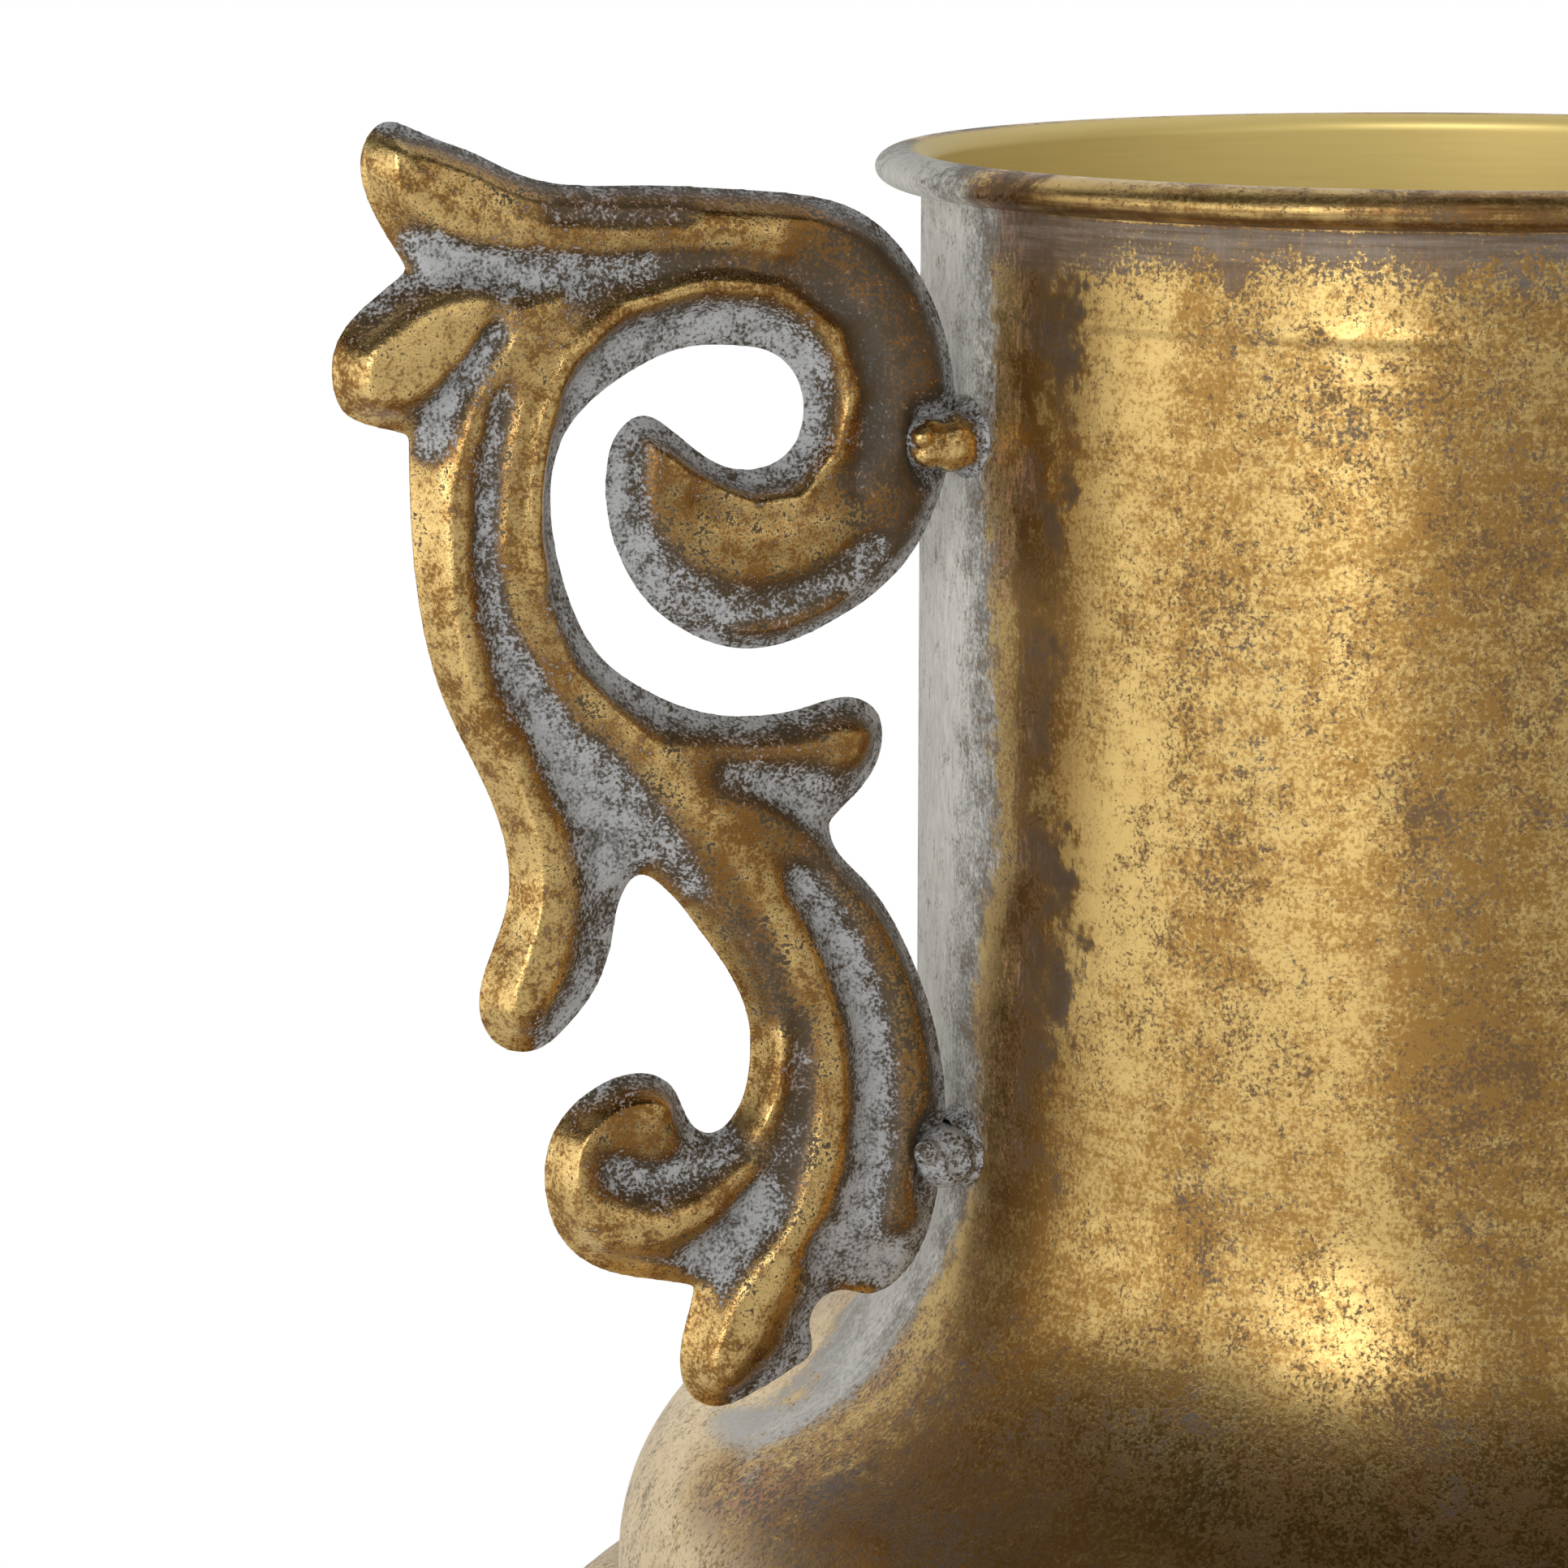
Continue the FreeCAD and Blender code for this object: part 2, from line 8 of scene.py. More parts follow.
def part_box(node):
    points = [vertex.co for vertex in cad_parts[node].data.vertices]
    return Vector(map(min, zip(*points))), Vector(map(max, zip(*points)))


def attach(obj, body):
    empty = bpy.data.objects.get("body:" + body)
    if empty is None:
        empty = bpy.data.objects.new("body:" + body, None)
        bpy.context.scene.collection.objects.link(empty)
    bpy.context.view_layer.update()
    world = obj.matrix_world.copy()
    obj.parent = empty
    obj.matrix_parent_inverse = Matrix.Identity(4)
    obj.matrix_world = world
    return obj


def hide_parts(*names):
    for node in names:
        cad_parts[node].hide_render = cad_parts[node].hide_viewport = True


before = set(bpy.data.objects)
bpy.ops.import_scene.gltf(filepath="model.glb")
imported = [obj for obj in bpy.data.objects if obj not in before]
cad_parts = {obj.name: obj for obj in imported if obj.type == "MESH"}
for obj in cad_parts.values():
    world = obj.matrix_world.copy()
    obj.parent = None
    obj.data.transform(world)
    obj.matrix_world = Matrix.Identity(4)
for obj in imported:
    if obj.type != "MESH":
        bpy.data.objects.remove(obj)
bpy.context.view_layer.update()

# Urn vase in antique gold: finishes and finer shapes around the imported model, in metres.
# Z is the vase's axis, the left handle is on -X and the right one on +X.

bl_info = {
    "name": "Antique Gold Urn Vase",
    "version": (1, 0, 0),
    "blender": (4, 5, 0),
    "location": "View3D > Sidebar > Urn",
    "description": "Builds the spun sheet, cast scroll handles and finishes of a pedestal urn vase",
    "category": "Object",
}

MM = 0.001
BODY = "root"
HALF_TURN = math.pi
# Distance within which two points of a mesh are one
WELD = 0.001 * MM

# Height of the rim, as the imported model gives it
RIM_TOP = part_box("neck_shell")[1].z

# Heights over the foot's face where the outline turns, and where grey settles: each groove of
# the knop also has the reach of its grey in mm
DOME_TOP = 0.272
DOME_LOW = 0.240
CREASE = 0.2172
KNOP_GROOVES = ((0.0815, 2.6), (0.0680, 2.6), (0.0625, 2.4))

# Where the eye of the photograph stands, and how it looks
EYE = Vector((-0.2947, -0.5281, RIM_TOP + 0.042))
LOOK = Vector((0.3679, 0.9107, -0.1879))
LENS_MM = 122.06
SENSOR_MM = 36.0


def srgb(red, green, blue):
    """Linear colour of an sRGB colour given from 0 to 255."""
    linear = []
    for value in (red, green, blue):
        v = value / 255.0
        linear.append(v / 12.92 if v <= 0.04045 else ((v + 0.055) / 1.055) ** 2.4)
    return (*linear, 1.0)


WHITE = (1.0, 1.0, 1.0, 1.0)

# Lesser colours of the sheet, each named by where it shows
BEAD_BRONZE = srgb(128, 94, 56)
# Deep umber and dome umber: partly umber patina, partly painted dark reflection
DEEP_UMBER_AND_PAINTED_REFLECTION, DOME_UMBER_AND_PAINTED_REFLECTION = srgb(72, 52, 28), srgb(64, 48, 28)
BAND_DARK, BAND_LIGHT = srgb(108, 95, 80), srgb(150, 142, 132)
# Dome pale gold: pale gold flecks painted much lighter, as painted light on the lamp side
DOME_PALE_GOLD_AND_PAINTED_LIGHT = srgb(250, 226, 182)
WASH_LIGHT, WASH_DOME, WASH_SHADE = srgb(232, 230, 222), srgb(240, 238, 232), srgb(128, 124, 118)
SETTLED_GREY = srgb(150, 141, 128)
SATIN_DARK, SATIN_LIGHT = srgb(206, 182, 108), srgb(222, 200, 128)

# Colours of the cast metal
CAST_GOLD, CAST_AMBER = srgb(230, 196, 128), srgb(138, 98, 48)
CAST_BROWN, CAST_SLATE = srgb(88, 72, 50), srgb(92, 88, 82)
POWDER_DARK, POWDER_LIGHT = srgb(110, 109, 107), srgb(200, 201, 202)


# Settings


class UrnSheetSettings(bpy.types.PropertyGroup):
    """Sizes of the spun neck and shoulder sheet."""

    neck_radius: bpy.props.FloatProperty(
        name="Neck radius", description="Outer radius of the straight neck",
        default=60.0 * MM, unit="LENGTH")
    wall: bpy.props.FloatProperty(
        name="Sheet", description="Thickness of the spun sheet",
        default=1.2 * MM, unit="LENGTH")
    bead_height: bpy.props.FloatProperty(
        name="Rim bead height", description="Height of the rolled rim",
        default=4.2 * MM, unit="LENGTH")
    bead_radius: bpy.props.FloatProperty(
        name="Rim bead radius", description="Outer radius of the rolled rim",
        default=65.2 * MM, unit="LENGTH")
    line_depth: bpy.props.FloatProperty(
        name="Spun line depth", description="Drop under the rim of the raised spun line",
        default=15.4 * MM, unit="LENGTH")
    line_height: bpy.props.FloatProperty(
        name="Spun line height", description="How far the spun line stands proud of the neck",
        default=0.2 * MM, unit="LENGTH")
    turns: bpy.props.IntProperty(
        name="Facets", description="Steps round the spun sheet", default=320)


class UrnCastingSettings(bpy.types.PropertyGroup):
    """Relief and surface of the cast handles."""

    grain: bpy.props.FloatProperty(
        name="Mesh grain", description="Voxel size of the carved casting",
        default=0.5 * MM, unit="LENGTH")
    drawn_height: bpy.props.FloatProperty(
        name="Drawing height",
        description="Height over the middle plane at which the lines are drawn",
        default=3.0 * MM, unit="LENGTH")
    edge_height: bpy.props.FloatProperty(
        name="Edge height", description="Half thickness that the relief falls to at the outline",
        default=3.1 * MM, unit="LENGTH")
    contrast: bpy.props.FloatProperty(
        name="Relief contrast",
        description="How much deeper than drawn the relief is cut", default=2.2)
    roundness: bpy.props.FloatProperty(
        name="Ridge roundness",
        description="How much softer than drawn the ridges and hollows turn", default=1.3)
    sand_depth: bpy.props.FloatProperty(
        name="Sand depth", description="Depth of the lumps left by the sand mould",
        default=0.10 * MM, unit="LENGTH")


class UrnFinishSettings(bpy.types.PropertyGroup):
    """Colours of the antique gold finish."""

    gold: bpy.props.FloatVectorProperty(
        name="Gold", description="Pale yellow gold of the clean leaf",
        subtype="COLOR", size=4, default=srgb(210, 179, 114))
    amber: bpy.props.FloatVectorProperty(
        name="Amber", description="Deep amber gold where the leaf is thin",
        subtype="COLOR", size=4, default=srgb(160, 121, 64))
    umber: bpy.props.FloatVectorProperty(
        name="Umber", description="Dark patina under the gold",
        subtype="COLOR", size=4, default=srgb(116, 88, 52))
    copper: bpy.props.FloatVectorProperty(
        name="Copper", description="Orange pink marks at the edge of the wash",
        subtype="COLOR", size=4, default=srgb(200, 142, 106))
    wash: bpy.props.FloatVectorProperty(
        name="Wash", description="Powdery grey wash in hollows and round the handles",
        subtype="COLOR", size=4, default=srgb(206, 203, 194))
    slate: bpy.props.FloatVectorProperty(
        name="Slate", description="Dark grey specks through the gold",
        subtype="COLOR", size=4, default=srgb(108, 102, 96))


class UrnStageSettings(bpy.types.PropertyGroup):
    """Studio round the vase."""

    key_power: bpy.props.FloatProperty(
        name="Key", description="Power of the tall softbox left of the eye",
        default=3.6, unit="POWER")
    fill_power: bpy.props.FloatProperty(
        name="Fill", description="Power of the wide softbox further left",
        default=3.35, unit="POWER")
    top_power: bpy.props.FloatProperty(
        name="Top", description="Power of the small softbox over the eye",
        default=0.8, unit="POWER")
    snoot_power: bpy.props.FloatProperty(
        name="Snoot", description="Power of the narrow lamp that lights the inside of the neck",
        default=23.0, unit="POWER")
    floor_radius: bpy.props.FloatProperty(
        name="Floor", description="Half side of the pale floor", default=30.0, unit="LENGTH")


# Shader graphs


class Signal:
    """A float socket that does arithmetic by adding Math nodes."""

    def __init__(self, graph, socket):
        self.graph = graph
        self.socket = socket

    def math(self, operation, *values):
        return self.graph.calculate(operation, self, *values)

    def __add__(self, other):
        return self.math("ADD", other)

    __radd__ = __add__

    def __mul__(self, other):
        return self.math("MULTIPLY", other)

    __rmul__ = __mul__

    def __sub__(self, other):
        return self.math("SUBTRACT", other)

    def __rsub__(self, other):
        return self.graph.calculate("SUBTRACT", other, self)

    def __truediv__(self, other):
        return self.math("DIVIDE", other)

    def __rtruediv__(self, other):
        return self.graph.calculate("DIVIDE", other, self)

    def rise(self, low, high):
        """0 below low, 1 above high and a smooth step between."""
        settings = {"interpolation_type": "SMOOTHSTEP"}
        inputs = {"Value": self, "From Min": low, "From Max": high}
        return self.graph.add("ShaderNodeMapRange", settings, inputs)

    def fall(self, low, high):
        """1 below low, 0 above high and a smooth step between."""
        return 1.0 - self.rise(low, high)

    def band(self, start, full, fading, gone):
        """1 from full to fading, 0 before start and after gone, with smooth steps."""
        return self.rise(start, full) * self.fall(fading, gone)

    def least(self, other):
        return self.math("MINIMUM", other)

    def most(self, other):
        return self.math("MAXIMUM", other)


class Graph:
    """The node tree of a material or world."""

    def __init__(self, tree):
        self.tree = tree
        tree.nodes.clear()

    def add(self, kind, settings=None, inputs=None, output=0):
        """Adds a node: its settings first, then values or links on its sockets."""
        node = self.tree.nodes.new(kind)
        for name, value in (settings or {}).items():
            setattr(node, name, value)
        for name, value in (inputs or {}).items():
            socket = node.inputs[name]
            if isinstance(value, Signal):
                self.tree.links.new(value.socket, socket)
            else:
                socket.default_value = value
        return Signal(self, node.outputs[output]) if node.outputs else node

    def calculate(self, operation, *values):
        """A Math node on signals and numbers."""
        return self.add("ShaderNodeMath", {"operation": operation}, dict(enumerate(values)))

    def mix(self, share, first, second):
        """Colour that goes from first to second as share goes from 0 to 1."""
        return self.add("ShaderNodeMix", {"data_type": "RGBA"}, {0: share, 6: first, 7: second}, 2)

    def blend(self, share, first, second):
        """Number that goes from first to second as share goes from 0 to 1."""
        return self.add("ShaderNodeMix", {"data_type": "FLOAT"}, {0: share, 2: first, 3: second})

    def place(self):
        return self.add("ShaderNodeTexCoord", output="Object")

    def stretched(self, scale):
        """Object coordinates scaled by given factors, for grain that runs one way."""
        return self.add("ShaderNodeMapping", {}, {"Vector": self.place(), "Scale": scale})

    def grain(self, size, detail, rough, where=None):
        """Noise either side of 0 whose features are about size metres across."""
        inputs = {"Vector": where or self.place(), "Scale": 1.0 / size, "Detail": detail,
                  "Roughness": rough}
        return self.add("ShaderNodeTexNoise", {}, inputs, "Fac") - 0.5

    def bump(self, height, depth, strength):
        inputs = {"Height": height, "Distance": depth, "Strength": strength}
        return self.add("ShaderNodeBump", {}, inputs)

    def surface(self, **inputs):
        """Principled shader on the material's output."""
        named = {name.replace("_", " ").title(): value for name, value in inputs.items()}
        shader = self.add("ShaderNodeBsdfPrincipled", {}, named)
        self.add("ShaderNodeOutputMaterial", {}, {"Surface": shader})

    def background(self, colour, strength):
        return self.add("ShaderNodeBackground", {}, {"Color": colour, "Strength": strength})

    def glow(self, strength):
        return self.add("ShaderNodeEmission", {}, {"Color": WHITE, "Strength": strength})

    def join(self, first, second):
        """Both shaders added up."""
        return self.add("ShaderNodeAddShader", {}, {0: first, 1: second})

    def fade(self, share, first, second):
        """Shader that goes from first to second as share goes from 0 to 1."""
        return self.add("ShaderNodeMixShader", {}, {0: share, 1: first, 2: second})

    def seen_by_eye(self):
        """1 for what the camera sees itself and 0 for reflections and light."""
        return self.add("ShaderNodeLightPath", output="Is Camera Ray")


def new_finish(name):
    material = bpy.data.materials.new(name)
    material.use_nodes = True
    return material, Graph(material.node_tree)


def tint(name):
    return tuple(getattr(bpy.context.scene.urn_finish, name))


def split(graph, vector):
    """The three parts of a vector signal."""
    parts = graph.tree.nodes.new("ShaderNodeSeparateXYZ")
    graph.tree.links.new(vector.socket, parts.inputs[0])
    return [Signal(graph, socket) for socket in parts.outputs]


def degrees_from_handle(x, y):
    """Degrees round the axis from the nearer handle, growing towards the eye on the left."""
    side = x.math("SIGN")
    return (y * side).math("ARCTAN2", x * side).math("DEGREES")


def wash_zone(turned, z, jitter):
    """How far inside the grey wash a place is, in degrees: it narrows and ends on the dome."""
    low = z.fall(0.244, 0.275)
    front = 6.5 - z.fall(0.280, 0.312) * 3.5 - low * 5.5
    back = low * 20.0 - 33.0
    inside = (front - turned + jitter).least((turned - back) * 0.5 + jitter * 1.3)
    return inside.least((z - 0.2445) / (0.8 * MM) + jitter * 0.4)


def near_height(z, height, reach):
    """1 at a height and 0 beyond reach mm over or under it."""
    return (z - height).math("ABSOLUTE").fall(reach * 0.2 * MM, reach * MM)


class SheetSpecks:
    """Noises of the gilt sheet, from specks to drifts, and drawn out along and round the sheet."""

    def __init__(self, g):
        self.fine = g.grain(0.5 * MM, 4.0, 0.65)
        self.small = g.grain(3.6 * MM, 7.0, 0.7)
        self.patches = g.grain(16.0 * MM, 4.0, 0.6)
        self.drifts = g.grain(45.0 * MM, 3.0, 0.5)
        self.strokes = g.grain(1.0, 4.0, 0.65, g.stretched((1500.0, 1500.0, 420.0)))
        self.rings = g.grain(1.0, 5.0, 0.65, g.stretched((60.0, 60.0, 1400.0)))


class SheetPlaces:
    """Where on the vase a point lies: each place goes from 0 outside it to 1 inside it."""

    def __init__(self, g, specks):
        x, y, z = split(g, g.place())
        turned = degrees_from_handle(x, y)
        self.turned, self.z = turned, z

        # Wash behind each handle, the hatched fringe beside it and the umber band beyond, which is
        # partly patina and partly a painted dark reflection
        jitter = specks.small * 10.0 + specks.strokes * 7.0 + specks.patches * 14.0
        self.into_wash = wash_zone(turned, z, jitter)
        self.wash = self.into_wash.rise(-1.6, 1.6)
        self.fringe = self.into_wash.rise(-9.0, -2.0) * (1.0 - self.wash)
        # Umber band: partly patina, partly painted dark reflection, weaker low on the neck
        strayed = self.into_wash + specks.patches * 12.0 + specks.small * 8.0
        umber = strayed.rise(-15.0, -9.0) * self.into_wash.fall(-7.0, -3.0)
        self.umber = umber * z.rise(0.236, 0.247) * (z.rise(0.272, 0.312) * 0.8 + 0.2)

        # Bead, and the grey brown band under it
        self.bead = z.rise(RIM_TOP - 4.9 * MM, RIM_TOP - 4.3 * MM)
        below_rim = (RIM_TOP - z) / MM
        uneven = specks.patches * 16.0 + specks.rings * 6.0 + specks.small * 10.0
        self.rim_band = (below_rim + uneven).fall(5.0, 13.0) * (1.0 - self.bead)

        # Dome, with the side under the handle that faces the lamps, where pale flecks are painted
        # much lighter as painted light
        self.dome = z.fall(DOME_LOW, DOME_TOP) * (z.rise(0.19, 0.215) * 0.75 + 0.25)
        side = turned.fall(-16.0, -4.0) + z.fall(0.235, 0.243) * turned.fall(-2.0, 16.0)
        self.dome_lit_side = side.least(1.0) * turned.rise(-62.0, -30.0) * z.rise(0.196, 0.216)

        # Upright bands on the neck at set turns from each handle: above 0 darker streaks, partly
        # real and partly painted shade; below 0 a band of fuller gold that is painted light
        rubbed = turned.band(53.0, 60.0, 66.0, 80.0) + turned.band(30.0, 36.0, 38.0, 44.0) * 0.5
        full = turned.band(17.0, 22.0, 28.0, 34.0)
        self.streaks = (rubbed - full * 0.8) * z.rise(0.25, 0.28)

        # Crease and grooves of the knop, where grey settles
        hollow = near_height(z, CREASE, 5.5)
        for height, reach in KNOP_GROOVES:
            hollow = hollow + near_height(z, height, reach)
        self.hollow = hollow.least(1.0)

        # Inner face of the neck
        nx, ny, _ = split(g, g.add("ShaderNodeNewGeometry", output="Normal"))
        facing_out = (nx * x + ny * y) / (x * x + y * y).math("SQRT").most(MM)
        self.inside = facing_out.fall(-0.35, -0.05) * z.rise(0.09, 0.1)


def leaf_share(g, specks, at):
    """Share of gold leaf: broken by clusters of fine specks, and thinner in some places."""
    # Thinner leaf in the umber band, partly a painted dark reflection, and along the upright bands
    # of painted light and shade
    thinner = at.streaks * 0.16 + at.umber * (specks.patches * 4.0 + specks.small * 2.0 + 0.4)
    thinner = thinner + at.fringe * at.z.rise(0.335, 0.36) * 0.4 + at.rim_band * 0.95
    thinner = thinner + at.hollow * 0.35 + at.dome * 0.27 - at.bead * 0.1
    fine = g.grain(0.45 * MM, 4.0, 0.65)
    small = g.grain(2.2 * MM, 7.0, 0.7)
    patches = g.grain(14.0 * MM, 5.0, 0.65)
    cover = 0.34 + patches * 1.7 + small * 1.8 + fine * 3.2
    return (cover - thinner).rise(-0.3, 0.3)


def leaf_gold(g, specks, at):
    """Gold of the leaf: amber where it is thin, bronze on the bead."""
    thin = specks.drifts * 2.2 + specks.small * 2.4 + specks.fine * 3.4 + specks.rings
    # More amber in the umber band and the darker upright bands: partly painted dark reflection and
    # painted shade
    thin = thin + at.umber * 0.9 + at.dome * 0.45 + at.streaks * 0.3 - at.fringe * 0.3 + 0.38
    gold = g.mix(thin.rise(0.0, 1.0), tint("gold"), tint("amber"))
    # Bronze on the bead, less of it towards the top of the bead
    crest = at.z.rise(RIM_TOP - 2.4 * MM, RIM_TOP - 0.8 * MM)
    bead_bronze_share = specks.rings * 2.5 + specks.small * 2.0 - crest * 0.5 + 0.6
    return g.mix(at.bead * bead_bronze_share.rise(0.0, 1.0), gold, BEAD_BRONZE)


def sheet_patina(g, specks, at):
    """Umber and slate under the leaf, coppery hatching in the fringe, grey brown under the rim."""
    cold = specks.patches * 4.0 + specks.fine * 3.0 + at.dome * 0.3 + at.fringe * 0.4 - 0.05
    patina = g.mix(cold.rise(0.0, 1.0), tint("umber"), tint("slate"))
    hatch = (specks.strokes * 3.6 + specks.fine * 2.0 + 0.05).rise(0.0, 0.3)
    hatched = (at.fringe * 0.9 + at.rim_band * 0.3 + at.dome * 0.15).least(1.0)
    patina = g.mix(hatch * hatched, patina, tint("copper"))
    grey_brown = g.mix(specks.rings.rise(-0.15, 0.15), BAND_DARK, BAND_LIGHT)
    return g.mix(at.rim_band * 0.7, patina, grey_brown)


def wash_colour(g, specks, at):
    """Pale powdery grey, darker near its edge and palest on the dome."""
    pale = g.mix(specks.strokes.rise(-0.2, 0.2), tint("wash"), WASH_LIGHT)
    pale = g.mix(at.dome * 0.8, pale, WASH_DOME)
    near_edge = at.into_wash.fall(0.0, 12.0)
    shade = near_edge * 0.75 + specks.small * 3.0 + specks.fine * 2.0 - 0.05
    return g.mix(shade.rise(0.0, 1.0) * (1.0 - at.dome * 0.85), pale, WASH_SHADE)


def wash_share(specks, at):
    """Share of the wash: whole on the dome, broken by bare specks on the neck."""
    near_edge = at.into_wash.fall(0.0, 12.0)
    bare = (specks.fine * 3.2 + specks.small * 2.4 + near_edge * 0.3 - 0.5).rise(0.0, 0.3)
    return (at.wash - bare * (1.0 - at.dome) * 0.75).most(0.0)


def gilt_sheet():
    """Gold leaf over spun sheet: specks, amber and umber drifts, grey wash behind the handles, with
    painted dark reflections and painted light on the neck and dome.
    """
    material, g = new_finish("antique_gold_leaf")
    specks = SheetSpecks(g)
    at = SheetPlaces(g, specks)
    gold_share = leaf_share(g, specks, at)
    dust = wash_share(specks, at)

    colour = g.mix(gold_share, sheet_patina(g, specks, at), leaf_gold(g, specks, at))
    # Painted dark reflection over umber patina in the band beside the wash
    deep_umber_and_reflection = at.umber * (specks.small + specks.patches + 0.45).rise(0.0, 0.9) * 0.8
    colour = g.mix(deep_umber_and_reflection, colour, DEEP_UMBER_AND_PAINTED_REFLECTION)
    # Dome darker umber away from the handles: partly patina, partly painted dark reflection
    colour = g.mix(at.dome * at.turned.rise(0.0, 40.0) * 0.35, colour, DOME_UMBER_AND_PAINTED_REFLECTION)
    # Painted light: pale gold flecks on the dome's side under the handle, towards the lamps, turned
    # nearly white gold
    painted_light_flecks = (specks.small * 3.0 + specks.fine * 3.4 + specks.strokes * 1.6 + 0.8).rise(0.0, 1.0)
    colour = g.mix(at.dome * at.dome_lit_side * painted_light_flecks, colour, DOME_PALE_GOLD_AND_PAINTED_LIGHT)
    colour = g.mix(dust, colour, wash_colour(g, specks, at))
    settled = (at.hollow * 0.6 + specks.small * 2.6 + specks.fine * 2.4).rise(0.2, 0.8)
    colour = g.mix(at.hollow * settled * 0.6, colour, SETTLED_GREY)
    satin = g.mix(specks.rings + 0.5, SATIN_DARK, SATIN_LIGHT)
    colour = g.mix(at.inside, colour, satin)

    outside = 1.0 - at.inside
    metal = g.blend(dust, 0.4 + gold_share * 0.55, 0.1) * outside + at.inside * 0.45
    rough = g.blend(gold_share, 0.5, 0.33) + specks.small * 0.4
    rough = g.blend(at.inside, g.blend(dust, rough, 0.75), 0.5)
    relief = gold_share * 0.5 + specks.fine * 0.5 + specks.small * 0.7 + 0.6
    relief = (relief + (specks.strokes + 0.5) * at.wash * 0.6) * outside
    bump = g.bump(relief, 0.04 * MM, 0.8)
    g.surface(base_color=colour, metallic=metal, roughness=rough, normal=bump)
    return material


def cast_gilding():
    """Sand-cast metal: burnished gold ridges, umber slopes and powdery grey hollows."""
    _, g = new_finish("sand_cast_gilding")
    gilt = g.add("ShaderNodeAttribute", {"attribute_name": "gilt"}, output="Fac")
    dust = g.add("ShaderNodeAttribute", {"attribute_name": "dust"}, output="Fac")
    fine = g.grain(0.4 * MM, 4.0, 0.65)
    small = g.grain(2.6 * MM, 7.0, 0.72)
    patches = g.grain(12.0 * MM, 4.0, 0.6)
    pits = g.grain(0.4 * MM, 3.0, 0.6)

    gold_share = (gilt - 0.5) * 1.5 + fine * 3.4 + small * 2.6 + patches * 0.8
    gold_share = gold_share.rise(-0.2, 0.25)
    thin = patches * 2.0 + small * 4.0 + fine * 3.0 + (0.85 - gilt) + 0.42
    gold = g.mix(thin.rise(-0.1, 1.0), CAST_GOLD, CAST_AMBER)
    cold = (small * 4.0 + fine * 2.0 + 0.4).rise(0.0, 1.0)
    colour = g.mix(gold_share, g.mix(cold, CAST_BROWN, CAST_SLATE), gold)

    dust_share = ((dust - 0.62) * 1.5 + fine * 3.8 + small * 2.4).rise(-0.3, 0.35)
    tone = (pits * 3.0 + small * 3.0 + 0.6).rise(0.0, 1.0)
    powder = g.mix(tone, POWDER_DARK, POWDER_LIGHT)
    colour = g.mix(dust_share * 0.88, colour, powder)

    metal = g.blend(dust_share, 0.4 + gold_share * 0.55, 0.12)
    rough = g.blend(dust_share, g.blend(gold_share, 0.44, 0.2) + small * 0.3, 0.75)
    relief = (pits + 0.5) * (0.45 + dust_share * 0.75) + small * 0.9
    bump = g.bump(relief, 0.12 * MM, 0.9)
    g.surface(base_color=colour, metallic=metal, roughness=rough, normal=bump)


def plain_finish(name, light, dark, size, metallic, rough, depth, stretch=(1.0, 1.0, 1.0)):
    """A two-tone grained finish for steel, solder, rubber and felt."""
    material, g = new_finish(name)
    tone = g.grain(size, 4.0, 0.6, g.stretched(stretch))
    broad = g.grain(size * 9.0, 2.0, 0.5)
    colour = g.mix((tone * 0.6 + broad * 0.4).rise(-0.2, 0.2), dark, light)
    bump = g.bump(tone, depth, 0.8)
    g.surface(base_color=colour, metallic=metallic, roughness=rough + broad * 0.2, normal=bump)
    return material


# Modelling helpers


def only(piece):
    """Selects one object and nothing else."""
    if bpy.context.object and bpy.context.object.mode != "OBJECT":
        bpy.ops.object.mode_set(mode="OBJECT")
    bpy.ops.object.select_all(action="DESELECT")
    piece.select_set(True)
    bpy.context.view_layer.objects.active = piece


def edit(piece):
    """Opens one object in edit mode with all of it selected."""
    only(piece)
    bpy.ops.object.mode_set(mode="EDIT")
    bpy.ops.mesh.select_mode(type="VERT")
    bpy.ops.mesh.select_all(action="SELECT")


def leave_edit():
    bpy.ops.object.mode_set(mode="OBJECT")


def smooth(piece, degrees=35.0):
    only(piece)
    bpy.ops.object.shade_smooth_by_angle(angle=math.radians(degrees))


def arc_points(centre_r, centre_z, radius_r, radius_z, start_deg, end_deg, steps):
    """Points along an elliptic arc of a turned profile."""
    points = []
    for step in range(steps + 1):
        a = math.radians(start_deg + (end_deg - start_deg) * step / steps)
        points.append((centre_r + radius_r * math.cos(a), centre_z + radius_z * math.sin(a)))
    return points


